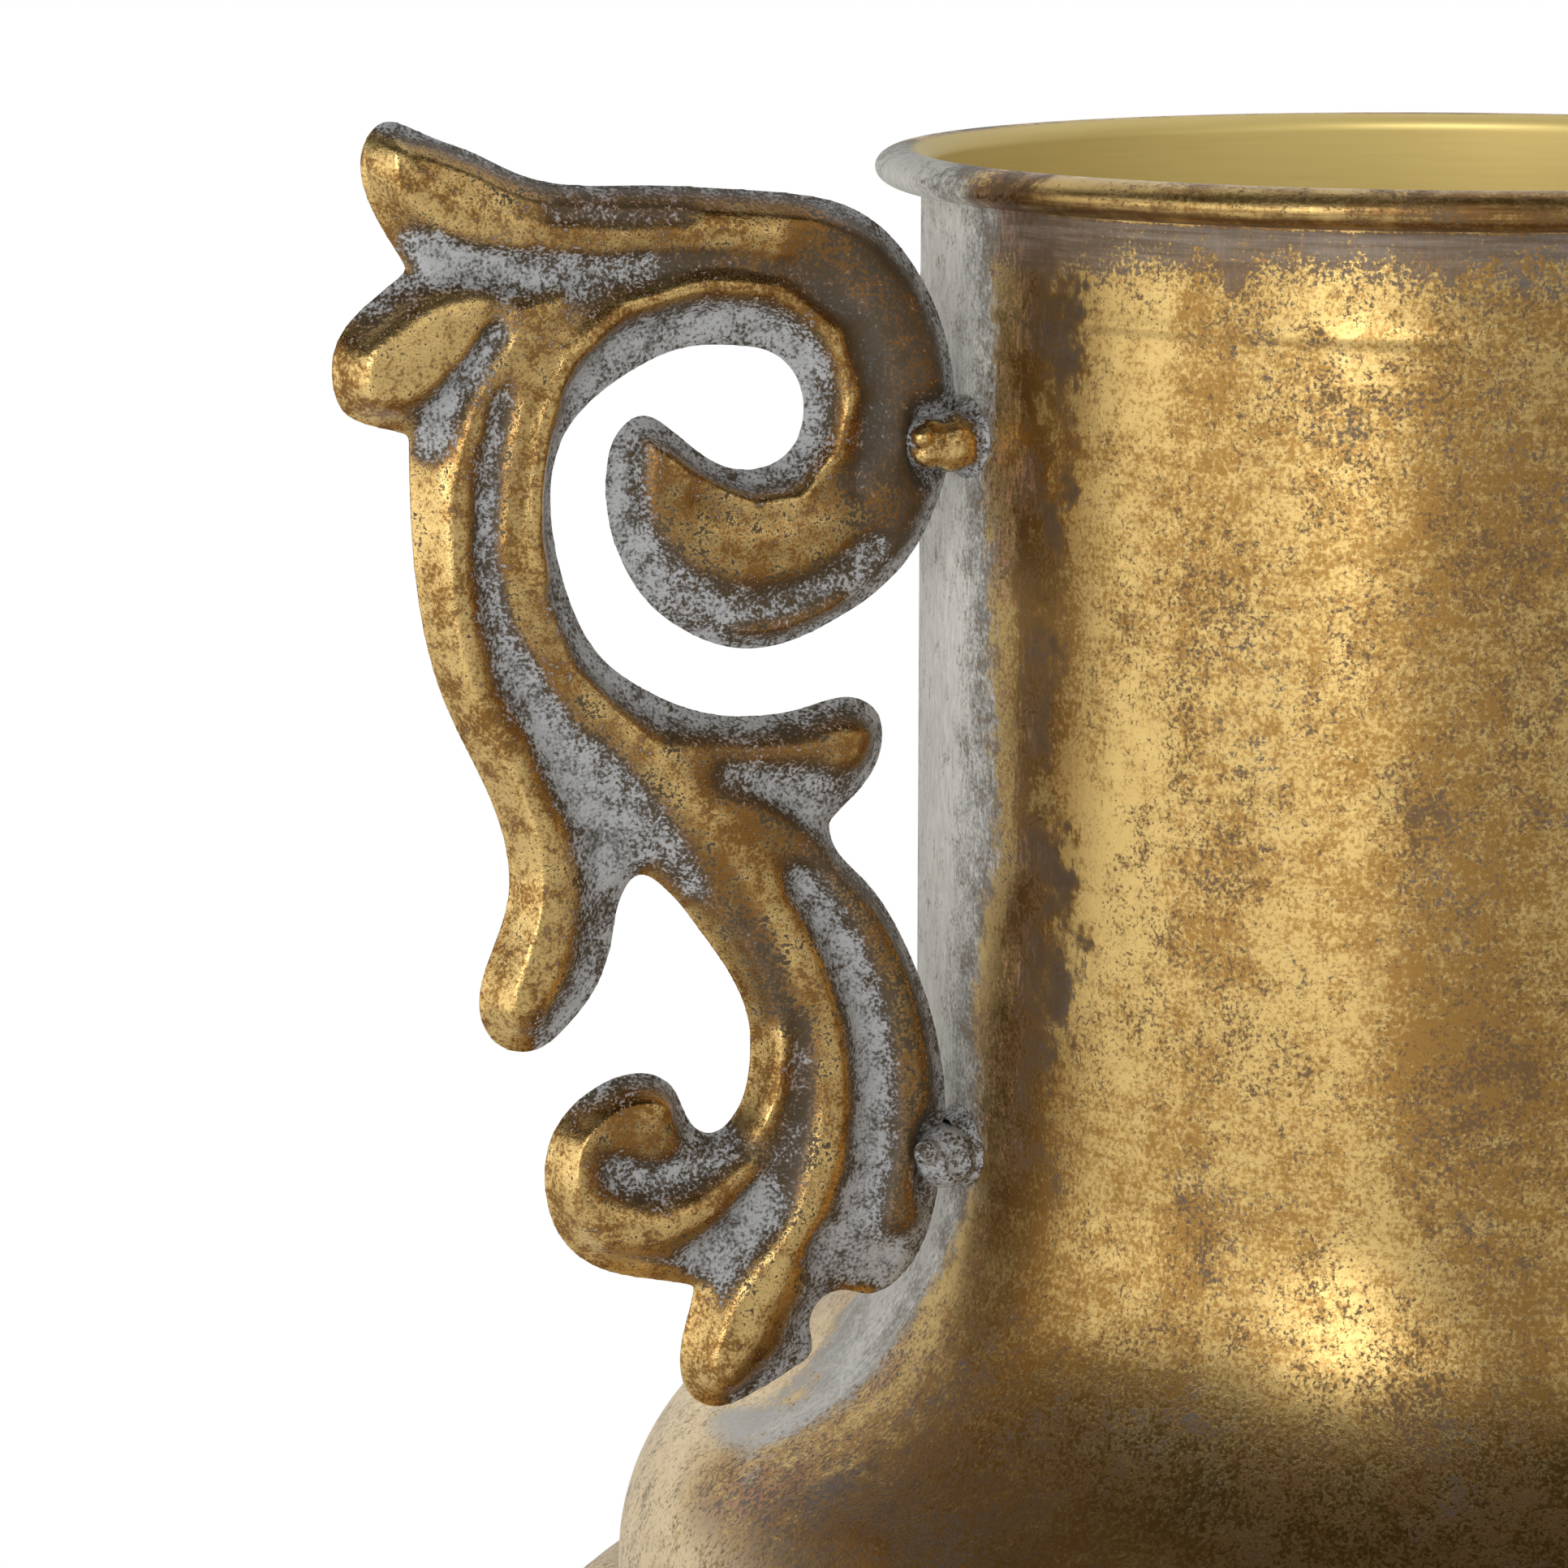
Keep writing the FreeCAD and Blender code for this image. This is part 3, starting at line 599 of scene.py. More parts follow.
def spun(name, profile, turns):
    """Spins a closed profile of (radius, height) points round the vase's axis."""
    bpy.ops.object.select_all(action="DESELECT")
    first = Vector((profile[0][0], 0.0, profile[0][1]))
    bpy.ops.mesh.primitive_plane_add(size=MM, location=(0.0, 0.0, 0.0))
    piece = bpy.context.object
    piece.name = name
    piece.data.name = name
    edit(piece)
    bpy.ops.mesh.merge(type="CENTER")
    bpy.ops.transform.translate(value=first)
    here = first
    for r, z in profile[1:]:
        point = Vector((r, 0.0, z))
        bpy.ops.mesh.extrude_vertices_move(TRANSFORM_OT_translate={"value": point - here})
        here = point
    bpy.ops.mesh.extrude_vertices_move(TRANSFORM_OT_translate={"value": first - here})
    bpy.ops.mesh.select_all(action="SELECT")
    bpy.ops.mesh.remove_doubles(threshold=WELD)
    bpy.ops.mesh.spin(steps=turns, angle=2.0 * HALF_TURN,
                      center=(0.0, 0.0, 0.0), axis=(0.0, 0.0, 1.0))
    bpy.ops.mesh.select_all(action="SELECT")
    bpy.ops.mesh.remove_doubles(threshold=WELD)
    bpy.ops.mesh.normals_make_consistent(inside=False)
    leave_edit()
    smooth(piece)
    return piece


def settle(piece, material, node):
    """Gives a finished piece its material and body, and hides the imported node it stands for."""
    piece.data.materials.clear()
    piece.data.materials.append(material)
    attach(piece, BODY)
    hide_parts(node)


def refinish(material, *nodes):
    """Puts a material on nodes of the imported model."""
    for node in nodes:
        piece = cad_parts[node]
        piece.data.materials.clear()
        piece.data.materials.append(material)


def remesh(piece, grain, relax):
    """Makes the mesh one even skin of faces about grain across, and relaxes it."""
    only(piece)
    piece.data.remesh_voxel_size = grain
    bpy.ops.object.voxel_remesh()
    modifier = piece.modifiers.new("relax", "SMOOTH")
    modifier.iterations = relax
    bpy.ops.object.modifier_apply(modifier=modifier.name)


def remeshed_copy(node, name, grain, relax):
    """A merged copy of a node's mesh as an even skin of small faces."""
    piece = bpy.data.objects.new(name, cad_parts[node].data.copy())
    bpy.context.scene.collection.objects.link(piece)
    edit(piece)
    bpy.ops.mesh.customdata_custom_splitnormals_clear()
    bpy.ops.mesh.remove_doubles(threshold=5.0 * WELD)
    leave_edit()
    remesh(piece, grain, relax)
    return piece


def points_of(piece):
    points = np.zeros(len(piece.data.vertices) * 3)
    piece.data.vertices.foreach_get("co", points)
    return points.reshape(-1, 3)


def move_points(piece, points):
    piece.data.vertices.foreach_set("co", points.ravel())
    piece.data.update()


def lumps(points, size, seed):
    """Smooth noise from -1 to 1 at each point, with lumps about size metres across."""
    shift = Vector((seed * 3.7, seed * 1.3, seed * 2.1))
    return np.array([noise.noise(Vector(p) / size + shift) for p in points])


def mark(piece, gilt, dust):
    """Stores how gilt and how dusty each point is."""
    for name, values in (("gilt", gilt), ("dust", dust)):
        attribute = piece.data.attributes.new(name, "FLOAT", "POINT")
        attribute.data.foreach_set("value", np.asarray(values, np.float32))


# Spun neck and shoulder


def shoulder_skin(neck_r, foot_z, inset):
    """Cove, dome and crease under the neck, moved inwards by inset."""
    cove_r, dome_r, sweep = 38.0 * MM, 22.5 * MM, 65.0
    band, crease_r, crease_sweep = 3.8 * MM, 7.0 * MM, 71.0
    lean = math.radians(sweep)
    dome_axis_r = neck_r + (cove_r + dome_r) * (1.0 - math.cos(lean)) - dome_r
    dome_z = foot_z - (cove_r + dome_r) * math.sin(lean)
    cove_r_in, dome_r_in, crease_r_in = cove_r + inset, dome_r - inset, crease_r + inset
    cove = arc_points(neck_r + cove_r, foot_z, cove_r_in, cove_r_in, 180.0, 180.0 + sweep, 24)
    dome = arc_points(dome_axis_r, dome_z, dome_r_in, dome_r_in, sweep, 0.0, 20)
    crease = arc_points(dome_axis_r + dome_r + crease_r, dome_z - band, crease_r_in, crease_r_in,
                        180.0, 180.0 + crease_sweep, 12)
    return cove + dome[1:] + crease


def spun_line(neck_r, line_z, height):
    """The raised line on the neck, from its upper foot to its lower one."""
    offsets = [1.5 - 0.3 * step for step in range(11)]
    return [(neck_r + height * math.exp(-(dz / 0.8) ** 2), line_z + dz * MM) for dz in offsets]


def neck_profile():
    """Rolled rim, neck with its spun line, cove, dome and crease, and back up inside."""
    sheet = bpy.context.scene.urn_sheet
    wall = sheet.wall
    neck_r = sheet.neck_radius
    foot_z = RIM_TOP - 110.0 * MM

    bead_half = sheet.bead_height / 2.0
    bead_z = RIM_TOP - bead_half
    bead_r = (sheet.bead_radius + neck_r - wall) / 2.0
    bead_wide = sheet.bead_radius - bead_r
    tip_deg = -118.0
    outer_roll = arc_points(bead_r, bead_z, bead_wide, bead_half, tip_deg, 180.0, 40)
    inner_roll = arc_points(bead_r, bead_z, bead_wide - wall, bead_half - wall, 180.0, tip_deg, 32)

    line_z = RIM_TOP - sheet.line_depth
    top_z = bead_z - 0.8 * MM
    heights = [top_z + (foot_z - top_z) * step / 60 for step in range(1, 60)]
    neck = [(neck_r, z) for z in heights if abs(z - line_z) > 1.6 * MM]
    neck += spun_line(neck_r, line_z, sheet.line_height)
    neck.sort(key=lambda point: -point[1])

    outer = neck + shoulder_skin(neck_r, foot_z, 0.0)
    inner = shoulder_skin(neck_r, foot_z, wall)
    inner_neck = [(neck_r - wall, foot_z + (bead_z - foot_z) * step / 12) for step in range(1, 12)]
    return outer_roll + inner_neck[::-1] + inner + outer[::-1] + inner_roll


class URN_OT_neck_sheet(bpy.types.Operator):
    """Spin the neck and shoulder sheet with its rolled rim"""

    bl_idname = "urn.neck_sheet"
    bl_label = "Neck and Shoulder Sheet"

    def execute(self, context):
        piece = spun("neck_and_shoulder_sheet", neck_profile(), context.scene.urn_sheet.turns)
        settle(piece, bpy.data.materials["antique_gold_leaf"], "neck_shell")
        return {"FINISHED"}


# Cast scroll handles

# Distance in mm from which a line of the relief no longer pulls on the skin
CARVE_REACH = 11.0
# How strongly the outline pulls on the skin, and how softly in mm
EDGE_PULL, EDGE_TURN = 0.9, 0.6
# Outer edges that hands and dusting have rubbed bright: left of one line and under the other
RUBBED_LEFT, RUBBED_UNDER = -106.0 * MM, RIM_TOP - 62.0 * MM

# Lines of the left handle's relief as drawn 3 mm over its middle plane: distance from the
# vase's axis and height over the rim, in mm. Each line has its height over the middle plane,
# how far its level top reaches, how softly it turns, how gilt it is and how dusty.
CARVING = [
    # Ridge round the eye, from the crescent's tip down the stem
    (5.0, 0.0, 0.7, 1.0, 0.0, [
        (97.4, -28.4), (92.8, -32.0), (85.5, -35.6), (80.2, -35.2), (75.8, -30.4), (74.4, -24.7),
        (76.3, -17.8), (82.8, -12.6), (91.3, -11.9), (100.2, -14.0), (106.3, -19.0),
        (109.6, -26.8), (110.7, -38.4), (108.8, -45.2), (105.9, -52.6), (101.3, -57.5),
        (94.9, -64.1), (90.8, -69.6)]),
    # Wall of the eye and of the gap under the curl
    (2.9, 0.0, 0.8, 0.0, 1.1, [
        (99.5, -26.4), (94.4, -28.9), (90.0, -32.2), (85.5, -33.3), (80.6, -32.0), (78.0, -27.0),
        (78.4, -21.5), (82.0, -17.0), (88.0, -15.8), (94.5, -16.0), (101.0, -18.3),
        (106.0, -23.0)]),
    (3.0, 0.0, 0.8, 0.0, 1.1, [
        (108.9, -44.0), (106.0, -51.0), (101.0, -55.2), (94.0, -58.8), (87.5, -59.9),
        (80.0, -59.2)]),
    (3.0, 0.6, 0.8, 0.0, 1.2, [
        (100.6, -28.6), (101.3, -34.0), (99.7, -40.0), (95.6, -45.3), (90.2, -49.0)]),
    # Left ridge of the stem and the leaf that hangs from it
    (4.9, 0.3, 1.0, 1.0, 0.0, [
        (107.3, -12.1), (111.3, -14.6), (114.2, -18.6), (116.5, -23.6), (118.9, -33.1),
        (119.2, -43.6), (117.6, -54.2), (113.8, -61.5), (110.6, -69.6)]),
    (4.9, 0.6, 1.2, 1.0, 0.0, [(110.6, -71.0), (110.8, -77.0), (112.0, -83.2), (114.0, -88.6)]),
    (4.3, 0.6, 1.2, 0.95, 0.0, [(122.0, -31.0), (122.2, -42.0), (120.2, -52.0), (116.4, -62.0)]),
    (4.5, 0.5, 0.8, 0.9, 0.0, [
        (110.2, -20.5), (112.5, -31.0), (112.9, -40.0), (110.8, -48.0), (107.4, -54.0)]),
    # Grey valleys of the stem
    (3.7, 0.4, 0.8, 0.25, 0.8, [(114.2, -23.5), (115.5, -29.5)]),
    (3.7, 0.2, 0.7, 0.1, 0.9, [(115.8, -32.6), (116.3, -39.0), (114.8, -47.0), (112.3, -52.4)]),
    (3.5, 0.5, 0.8, 0.0, 1.2, [(112.3, -52.4), (109.1, -58.0), (105.2, -66.7), (101.2, -72.8)]),
    (3.7, 0.6, 0.9, 0.05, 0.95, [(103.8, -61.6), (99.4, -66.6), (95.6, -71.6), (92.4, -77.0)]),
    (4.3, 0.3, 0.8, 0.8, 0.1, [
        (104.8, -57.4), (99.8, -62.6), (95.0, -68.4), (91.6, -73.6), (88.6, -79.0)]),
    # Horn and the band that runs from it over the curl
    (4.9, 0.8, 1.1, 1.0, 0.0, [
        (127.0, 3.4), (124.7, 0.0), (121.3, -2.6), (117.1, -4.6), (112.3, -6.0), (101.8, -6.9),
        (91.3, -6.7), (83.5, -8.1)]),
    (4.6, 0.4, 0.9, 0.8, 0.0, [
        (121.5, 2.4), (114.0, -0.6), (106.0, -2.4), (96.0, -2.8), (86.0, -3.6), (79.0, -4.8)]),
    (4.0, 0.2, 0.6, 0.2, 0.6, [(108.0, -3.8), (100.0, -4.4), (94.0, -4.4)]),
    (3.4, 1.0, 0.8, 0.0, 1.2, [(123.6, -7.8), (117.0, -9.2), (110.5, -10.0), (106.5, -10.3)]),
    (3.6, 0.3, 0.7, 0.1, 0.9, [(104.0, -10.0), (98.0, -9.4)]),
    (4.0, 0.3, 0.7, 0.15, 0.3, [(95.0, -9.2), (88.0, -9.3), (81.6, -11.0)]),
    # Bud and the valley under it
    (5.0, 2.6, 1.3, 1.0, 0.0, [(127.6, -20.6), (124.2, -18.7), (120.6, -16.6)]),
    (4.7, 1.2, 0.9, 0.95, 0.0, [(119.2, -15.4), (116.8, -13.9)]),
    (3.3, 0.4, 0.6, 0.0, 1.2, [
        (115.0, -16.4), (117.2, -19.4), (119.6, -22.8), (121.6, -25.8), (122.8, -28.4)]),
    # Outer band of the curl, dark and rounded, and the groove inside it
    (4.8, 1.0, 1.4, 0.4, 0.0, [
        (79.5, -6.6), (73.2, -9.4), (68.8, -14.7), (66.9, -20.5), (66.6, -26.8), (67.7, -33.1),
        (70.2, -38.0)]),
    (4.1, 0.2, 0.7, 0.1, 0.25, [
        (79.2, -12.4), (74.2, -16.8), (71.8, -22.6), (71.6, -28.6), (73.6, -34.4)]),
    # Crescent lobe at the curl's end, its groove and its rim
    (4.9, 1.0, 1.5, 0.76, 0.0, [
        (96.0, -32.0), (95.0, -37.0), (91.3, -40.2), (86.0, -41.6), (80.2, -40.8), (75.5, -38.6),
        (72.0, -35.9)]),
    (3.8, 0.3, 0.7, 0.1, 0.75, [
        (97.3, -41.8), (94.0, -45.0), (89.7, -46.9), (85.0, -47.4), (79.8, -46.4), (74.9, -43.9),
        (71.5, -41.0)]),
    (4.2, 0.2, 0.7, 0.7, 0.1, [
        (94.6, -46.8), (90.6, -48.6), (86.4, -49.5), (81.6, -49.0), (76.0, -46.9)]),
    # Lobe of the lower horn and the valley under it
    (4.8, 0.9, 1.0, 0.75, 0.0, [
        (92.0, -61.9), (87.0, -62.2), (82.0, -61.9), (77.5, -61.5), (74.4, -62.4)]),
    (3.4, 0.6, 0.8, 0.0, 1.1, [(89.0, -65.2), (84.5, -66.7), (80.5, -68.6), (78.0, -70.6)]),
    # Right rib of the lower stem and the grey valley beside it
    (4.8, 0.6, 0.9, 0.62, 0.0, [
        (94.6, -62.4), (89.1, -66.4), (84.0, -70.0), (78.0, -74.9), (72.4, -81.4), (68.4, -89.6),
        (66.8, -99.1), (66.8, -108.0), (68.4, -116.6)]),
    (3.5, 0.5, 0.8, 0.0, 1.15, [
        (80.2, -77.6), (75.6, -85.5), (72.6, -93.0), (71.4, -101.0), (71.4, -109.0),
        (73.0, -118.0)]),
    # Long ridge of the lower stem, which ends as the bottom leaf
    (5.0, 0.7, 0.9, 0.9, 0.0, [
        (90.0, -71.0), (85.5, -76.0), (81.4, -82.0), (78.4, -89.6), (76.7, -97.0), (76.5, -104.0),
        (77.6, -110.0), (79.4, -115.4), (82.0, -119.6)]),
    (5.0, 1.1, 1.3, 1.0, 0.0, [(83.6, -121.6), (86.6, -126.0), (89.6, -131.0)]),
    (4.5, 0.3, 0.9, 0.42, 0.1, [(92.4, -72.0), (88.0, -78.6), (84.6, -86.0), (83.0, -93.0)]),
    (4.8, 0.1, 0.6, 1.0, 0.0, [(82.7, -95.0), (83.2, -100.6), (85.0, -104.6)]),
    (4.1, 0.3, 0.8, 0.25, 0.45, [(80.0, -93.0), (79.8, -100.0), (80.6, -106.0), (82.4, -111.0)]),
    (3.2, 1.3, 0.8, 0.0, 1.2, [(84.8, -113.6), (87.4, -116.8), (90.4, -119.4)]),
    # Volute at the foot: its band, its heart and the groove between
    (4.9, 0.4, 1.2, 0.95, 0.0, [
        (96.6, -101.2), (100.0, -99.8), (104.2, -101.2), (107.2, -105.6), (106.6, -111.0),
        (102.6, -114.6), (96.8, -115.6), (91.4, -113.6), (87.2, -110.0)]),
    (4.5, 1.0, 0.9, 0.7, 0.0, [(100.4, -104.4), (97.0, -105.4)]),
    (3.6, 0.2, 0.6, 0.05, 0.85, [(101.6, -107.8), (97.6, -109.3), (93.2, -109.0), (89.0, -106.8)]),
    (3.1, 0.8, 0.8, 0.0, 1.1, [(77.0, -119.6), (73.0, -122.4), (69.6, -121.6)]),
]


def on_relief(point, height):
    """A drawn point taken along the line of sight to its own height over the middle plane."""
    drawn = bpy.context.scene.urn_casting.drawn_height
    seen = Vector((-point[0] * MM, -drawn, RIM_TOP + point[1] * MM))
    reach = (EYE.y + height * MM) / (EYE.y + drawn)
    return EYE + (seen - EYE) * reach


def nearness(flat, line, half_width, softness):
    """How strongly each flat point is drawn to a line of the relief."""
    nearest = np.full(len(flat), np.inf)
    for start, end in zip(line, line[1:]):
        a = np.array((start.x, start.z))
        run = np.array((end.x, end.z)) - a
        share = np.clip(((flat - a) @ run) / (run @ run), 0.0, 1.0)
        gap = flat - a - share[:, None] * run
        nearest = np.minimum(nearest, np.hypot(gap[:, 0], gap[:, 1]))
    outside = np.maximum(nearest / MM - half_width, 0.0)
    turn = softness * bpy.context.scene.urn_casting.roundness
    pull = 1.0 / (outside ** 2 + turn ** 2) - 1.0 / CARVE_REACH ** 2
    return np.maximum(pull, 0.0) * turn


def edge_gap(points, grain):
    """Distance in the handle's plane from each point to its outline."""
    rim = points[np.abs(points[:, 1]) < 0.6 * grain]
    tree = kdtree.KDTree(len(rim))
    for index, p in enumerate(rim):
        tree.insert((p[0], 0.0, p[2]), index)
    tree.balance()
    return np.array([tree.find((p[0], 0.0, p[2]))[2] for p in points])


def normals_of(piece):
    normals = np.zeros(len(piece.data.vertices) * 3, np.float32)
    piece.data.vertices.foreach_get("normal", normals)
    return normals.reshape(-1, 3)


def carve(piece):
    """Cuts the relief into both faces of the blank and marks its gilt and dusty places."""
    settings = bpy.context.scene.urn_casting
    points = points_of(piece)
    flat = points[:, [0, 2]]
    gap = edge_gap(points, settings.grain) / MM
    normals = normals_of(piece)
    outer = (points[:, 0] < RUBBED_LEFT) | (points[:, 2] < RUBBED_UNDER)
    rubbed = np.clip(-1.6 * normals[:, 0] - 0.9 * normals[:, 2], 0.0, 1.0) * outer
    pull = EDGE_PULL / (gap ** 2 + EDGE_TURN ** 2)
    total = pull.copy()
    height = pull * settings.edge_height / MM
    gilt = pull * (0.15 + 0.7 * rubbed)
    dust = pull * (0.85 - 0.8 * rubbed)
    for level, half_width, softness, gold, grey, drawn in CARVING:
        line = [on_relief(point, level) for point in drawn]
        pull = nearness(flat, line, half_width, softness)
        total += pull
        height += pull * level
        gilt += pull * gold
        dust += pull * grey
    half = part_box("left_handle")[1].y
    crest = half / MM
    cut = crest - (crest - height / total) * settings.contrast
    points[:, 1] *= cut / crest
    rough = 0.4 + dust / total
    sand = lumps(points, 2.6 * MM, 1.0) + 0.6 * lumps(points, 1.2 * MM, 2.0)
    points[:, 1] += np.sign(points[:, 1]) * sand * rough * settings.sand_depth
    points[:, 1] = np.clip(points[:, 1], -half, half)
    move_points(piece, points)
    mark(piece, gilt / total, dust / total)


def right_hand_copy(piece, name):
    """A copy of a left piece turned half round the vase's axis."""
    mesh = piece.data.copy()
    mesh.transform(Matrix.Rotation(HALF_TURN, 4, "Z"))
    copy = bpy.data.objects.new(name, mesh)
    bpy.context.scene.collection.objects.link(copy)
    return copy


class URN_OT_handles(bpy.types.Operator):
    """Carve the relief of the two cast scroll handles"""

    bl_idname = "urn.handles"
    bl_label = "Cast Handles"

    def execute(self, context):
        grain = context.scene.urn_casting.grain
        left = remeshed_copy("left_handle", "left_scroll_casting", grain, 4)
        carve(left)
        smooth(left, 60.0)
        right = right_hand_copy(left, "right_scroll_casting")
        finish = bpy.data.materials["sand_cast_gilding"]
        settle(left, finish, "left_handle")
        settle(right, finish, "right_handle")
        return {"FINISHED"}


def add_ball(centre, radius):
    bpy.ops.mesh.primitive_uv_sphere_add(segments=24, ring_count=12,
                                         radius=radius, location=centre)


def lug_bar(name, low, high, knobs, dent):
    """A rounded bar with knobs on it and perhaps a dent in its front face, as one even skin."""
    bpy.ops.object.select_all(action="DESELECT")
    bpy.ops.mesh.primitive_cube_add(size=MM, location=(0.0, 0.0, 0.0))
    bar = bpy.context.object
    bar.name = name
    edit(bar)
    bpy.ops.transform.resize(value=(high - low) / MM)
    bpy.ops.transform.translate(value=(low + high) / 2.0)
    bpy.ops.mesh.bevel(offset=2.2 * MM, segments=5, affect="EDGES")
    for centre, radius in knobs:
        add_ball(centre, radius)
    leave_edit()
    if dent:
        add_ball(*dent)
        cutter = bpy.context.object
        remesh(bar, 0.3 * MM, 2)
        modifier = bar.modifiers.new("dent", "BOOLEAN")
        modifier.operation = "DIFFERENCE"
        modifier.object = cutter
        only(bar)
        bpy.ops.object.modifier_apply(modifier=modifier.name)
        bpy.data.objects.remove(cutter)
    remesh(bar, 0.25 * MM, 5)
    return bar


def roughened(piece, depth):
    """Pushes the skin in and out by cast lumps, and gives its first points and the lumps."""
    points = points_of(piece)
    bumps = lumps(points, 1.9 * MM, 4.0) + 0.5 * lumps(points, 0.9 * MM, 5.0)
    move_points(piece, points + normals_of(piece) * (bumps * depth)[:, None])
    return points, bumps


# How far the cast lumps of lugs and braze stand out
CAST_LUMPS = 0.16 * MM

# The left handle's lugs in mm, with heights over the rim: the bar's low and high corner, its
# knobs and its dent as centre and radius, and how gilt its front is
LUG_BARS = {
    "upper_lug": {
        "low": (-68.4, -6.0, -32.7), "high": (-59.5, 6.0, -27.1), "gilt": 1.0,
        "knobs": [((-63.1, -3.0, -29.9), 3.4), ((-63.1, 3.0, -29.9), 3.4),
                  ((-67.4, -5.2, -29.0), 1.2)]},
    "lower_lug": {
        "low": (-66.2, -5.6, -112.6), "high": (-59.5, 5.6, -107.2), "gilt": 0.2,
        "knobs": [((-63.2, -3.0, -109.9), 3.5), ((-63.2, 3.0, -109.9), 3.5),
                  ((-66.4, -5.2, -108.6), 1.5)],
        "dent": ((-63.0, -7.2, -110.0), 2.0)},
}


def millimetres(point):
    """A point given in mm, with its height over the rim."""
    return Vector((point[0] * MM, point[1] * MM, RIM_TOP + point[2] * MM))


def ball_of(centre, radius):
    """Centre and radius of a knob or dent, in metres."""
    return millimetres(centre), radius * MM


class URN_OT_lugs(bpy.types.Operator):
    """Shape the lugs that carry the handles and the braze round them"""

    bl_idname = "urn.lugs"
    bl_label = "Lugs and Braze"

    def execute(self, context):
        finish = bpy.data.materials["sand_cast_gilding"]
        for node, spec in LUG_BARS.items():
            low, high = millimetres(spec["low"]), millimetres(spec["high"])
            knobs = [ball_of(*knob) for knob in spec["knobs"]]
            dent = ball_of(*spec["dent"]) if "dent" in spec else None
            left = lug_bar(f"left_{node}_cast", low, high, knobs, dent)
            points, bumps = roughened(left, CAST_LUMPS)
            front = np.clip((np.abs(points[:, 1]) / MM - 3.6) / 1.6, 0.0, 1.0)
            off_neck = np.clip((np.abs(points[:, 0]) / MM - 60.2) / 2.0, 0.0, 1.0)
            gilt = np.clip(front * off_neck * spec["gilt"] + 0.3 * bumps, 0.0, 1.0)
            mark(left, gilt, np.clip(1.0 - gilt, 0.0, 1.0))
            self.finish_pair(left, node, finish, "gilt_casting")
        for node in ("upper_braze", "lower_braze"):
            left = remeshed_copy("left_" + node, f"left_{node}_cast", 0.3 * MM, 5)
            _, bumps = roughened(left, CAST_LUMPS)
            gilt = np.clip(0.15 + 0.2 * bumps, 0.0, 1.0)
            mark(left, gilt, np.clip(0.75 + 0.3 * bumps, 0.0, 1.0))
            self.finish_pair(left, node, finish, "braze")
        return {"FINISHED"}

    def finish_pair(self, left, node, finish, slot):
        smooth(left, 60.0)
        right = right_hand_copy(left, f"right_{node}_cast")
        settle(left, finish, "left_" + node)
        settle(right, finish, "right_" + node)


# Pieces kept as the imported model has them

GILT_NODES = ("belly_shell", "bowl_shell", "bowl_pan", "bowl_cup", "stem_knop",
              "foot_shell", "foot_ring")
STEEL_NODES = ("pedestal_bolt", "bolt_washer", "foot_washer", "foot_nut", "rim_wire")
SOLDER_NODES = ("seam_strap", "bowl_strap", "pan_strap")


class URN_OT_finishes(bpy.types.Operator):
    """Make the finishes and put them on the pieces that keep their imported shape"""

    bl_idname = "urn.finishes"
    bl_label = "Finishes"

    def execute(self, context):
        leaf = gilt_sheet()
        cast_gilding()
        steel = plain_finish("zinc_steel", srgb(196, 198, 200), srgb(150, 152, 156), 0.6 * MM,
                             1.0, 0.34, 0.01 * MM, (1.0, 1.0, 0.1))
        solder = plain_finish("dull_solder", srgb(168, 168, 164), srgb(118, 118, 116), 1.6 * MM,
                              1.0, 0.5, 0.08 * MM)
        rubber = plain_finish("black_rubber", srgb(44, 44, 46), srgb(26, 26, 28), 0.8 * MM,
                              0.0, 0.72, 0.03 * MM)
        refinish(leaf, *GILT_NODES)
        refinish(steel, *STEEL_NODES)
        refinish(solder, *SOLDER_NODES)
        refinish(rubber, "bolt_seal")
        return {"FINISHED"}


class URN_OT_felt(bpy.types.Operator):
    """Model the felt ring under the foot"""

    bl_idname = "urn.felt"
    bl_label = "Felt Ring"

    def execute(self, context):
        low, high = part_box("foot_felt")
        outer_r = high.x
        thick = high.z - low.z
        half_width = 5.5 * MM
        middle_r = outer_r - half_width
        edge = thick / 2.0
        flat = half_width - edge
        profile = arc_points(middle_r + flat, low.z + edge, edge, edge, -90.0, 90.0, 8)
        profile += arc_points(middle_r - flat, low.z + edge, edge, edge, 90.0, 270.0, 8)
        piece = spun("felt_ring", profile, 240)
        points = points_of(piece)
        nap = lumps(points, 0.8 * MM, 7.0) * 0.05 * MM
        radius = np.hypot(points[:, 0], points[:, 1])
        side = np.sign(radius - middle_r) * (np.abs(radius - middle_r) > flat)
        points[:, :2] *= (1.0 + side * (nap - 0.06 * MM) / radius)[:, None]
        move_points(piece, points)
        felt = plain_finish("brown_felt", srgb(86, 66, 48), srgb(44, 34, 26), 0.5 * MM,
                            0.0, 0.95, 0.25 * MM)
        settle(piece, felt, "foot_felt")
        return {"FINISHED"}


# Stage


def hang(lamp_data, aim, turn_deg, rise_deg, distance):
    """Hangs a lamp round the vase, aimed at a point: turn 0 is the right handle's side."""
    turn, rise = math.radians(turn_deg), math.radians(rise_deg)
    way = Vector((math.cos(turn) * math.cos(rise), math.sin(turn) * math.cos(rise), math.sin(rise)))
    lamp = bpy.data.objects.new(lamp_data.name, lamp_data)
    lamp.location = aim + way * distance
    lamp.rotation_euler = (-way).to_track_quat("-Z", "Y").to_euler()
    bpy.context.scene.collection.objects.link(lamp)


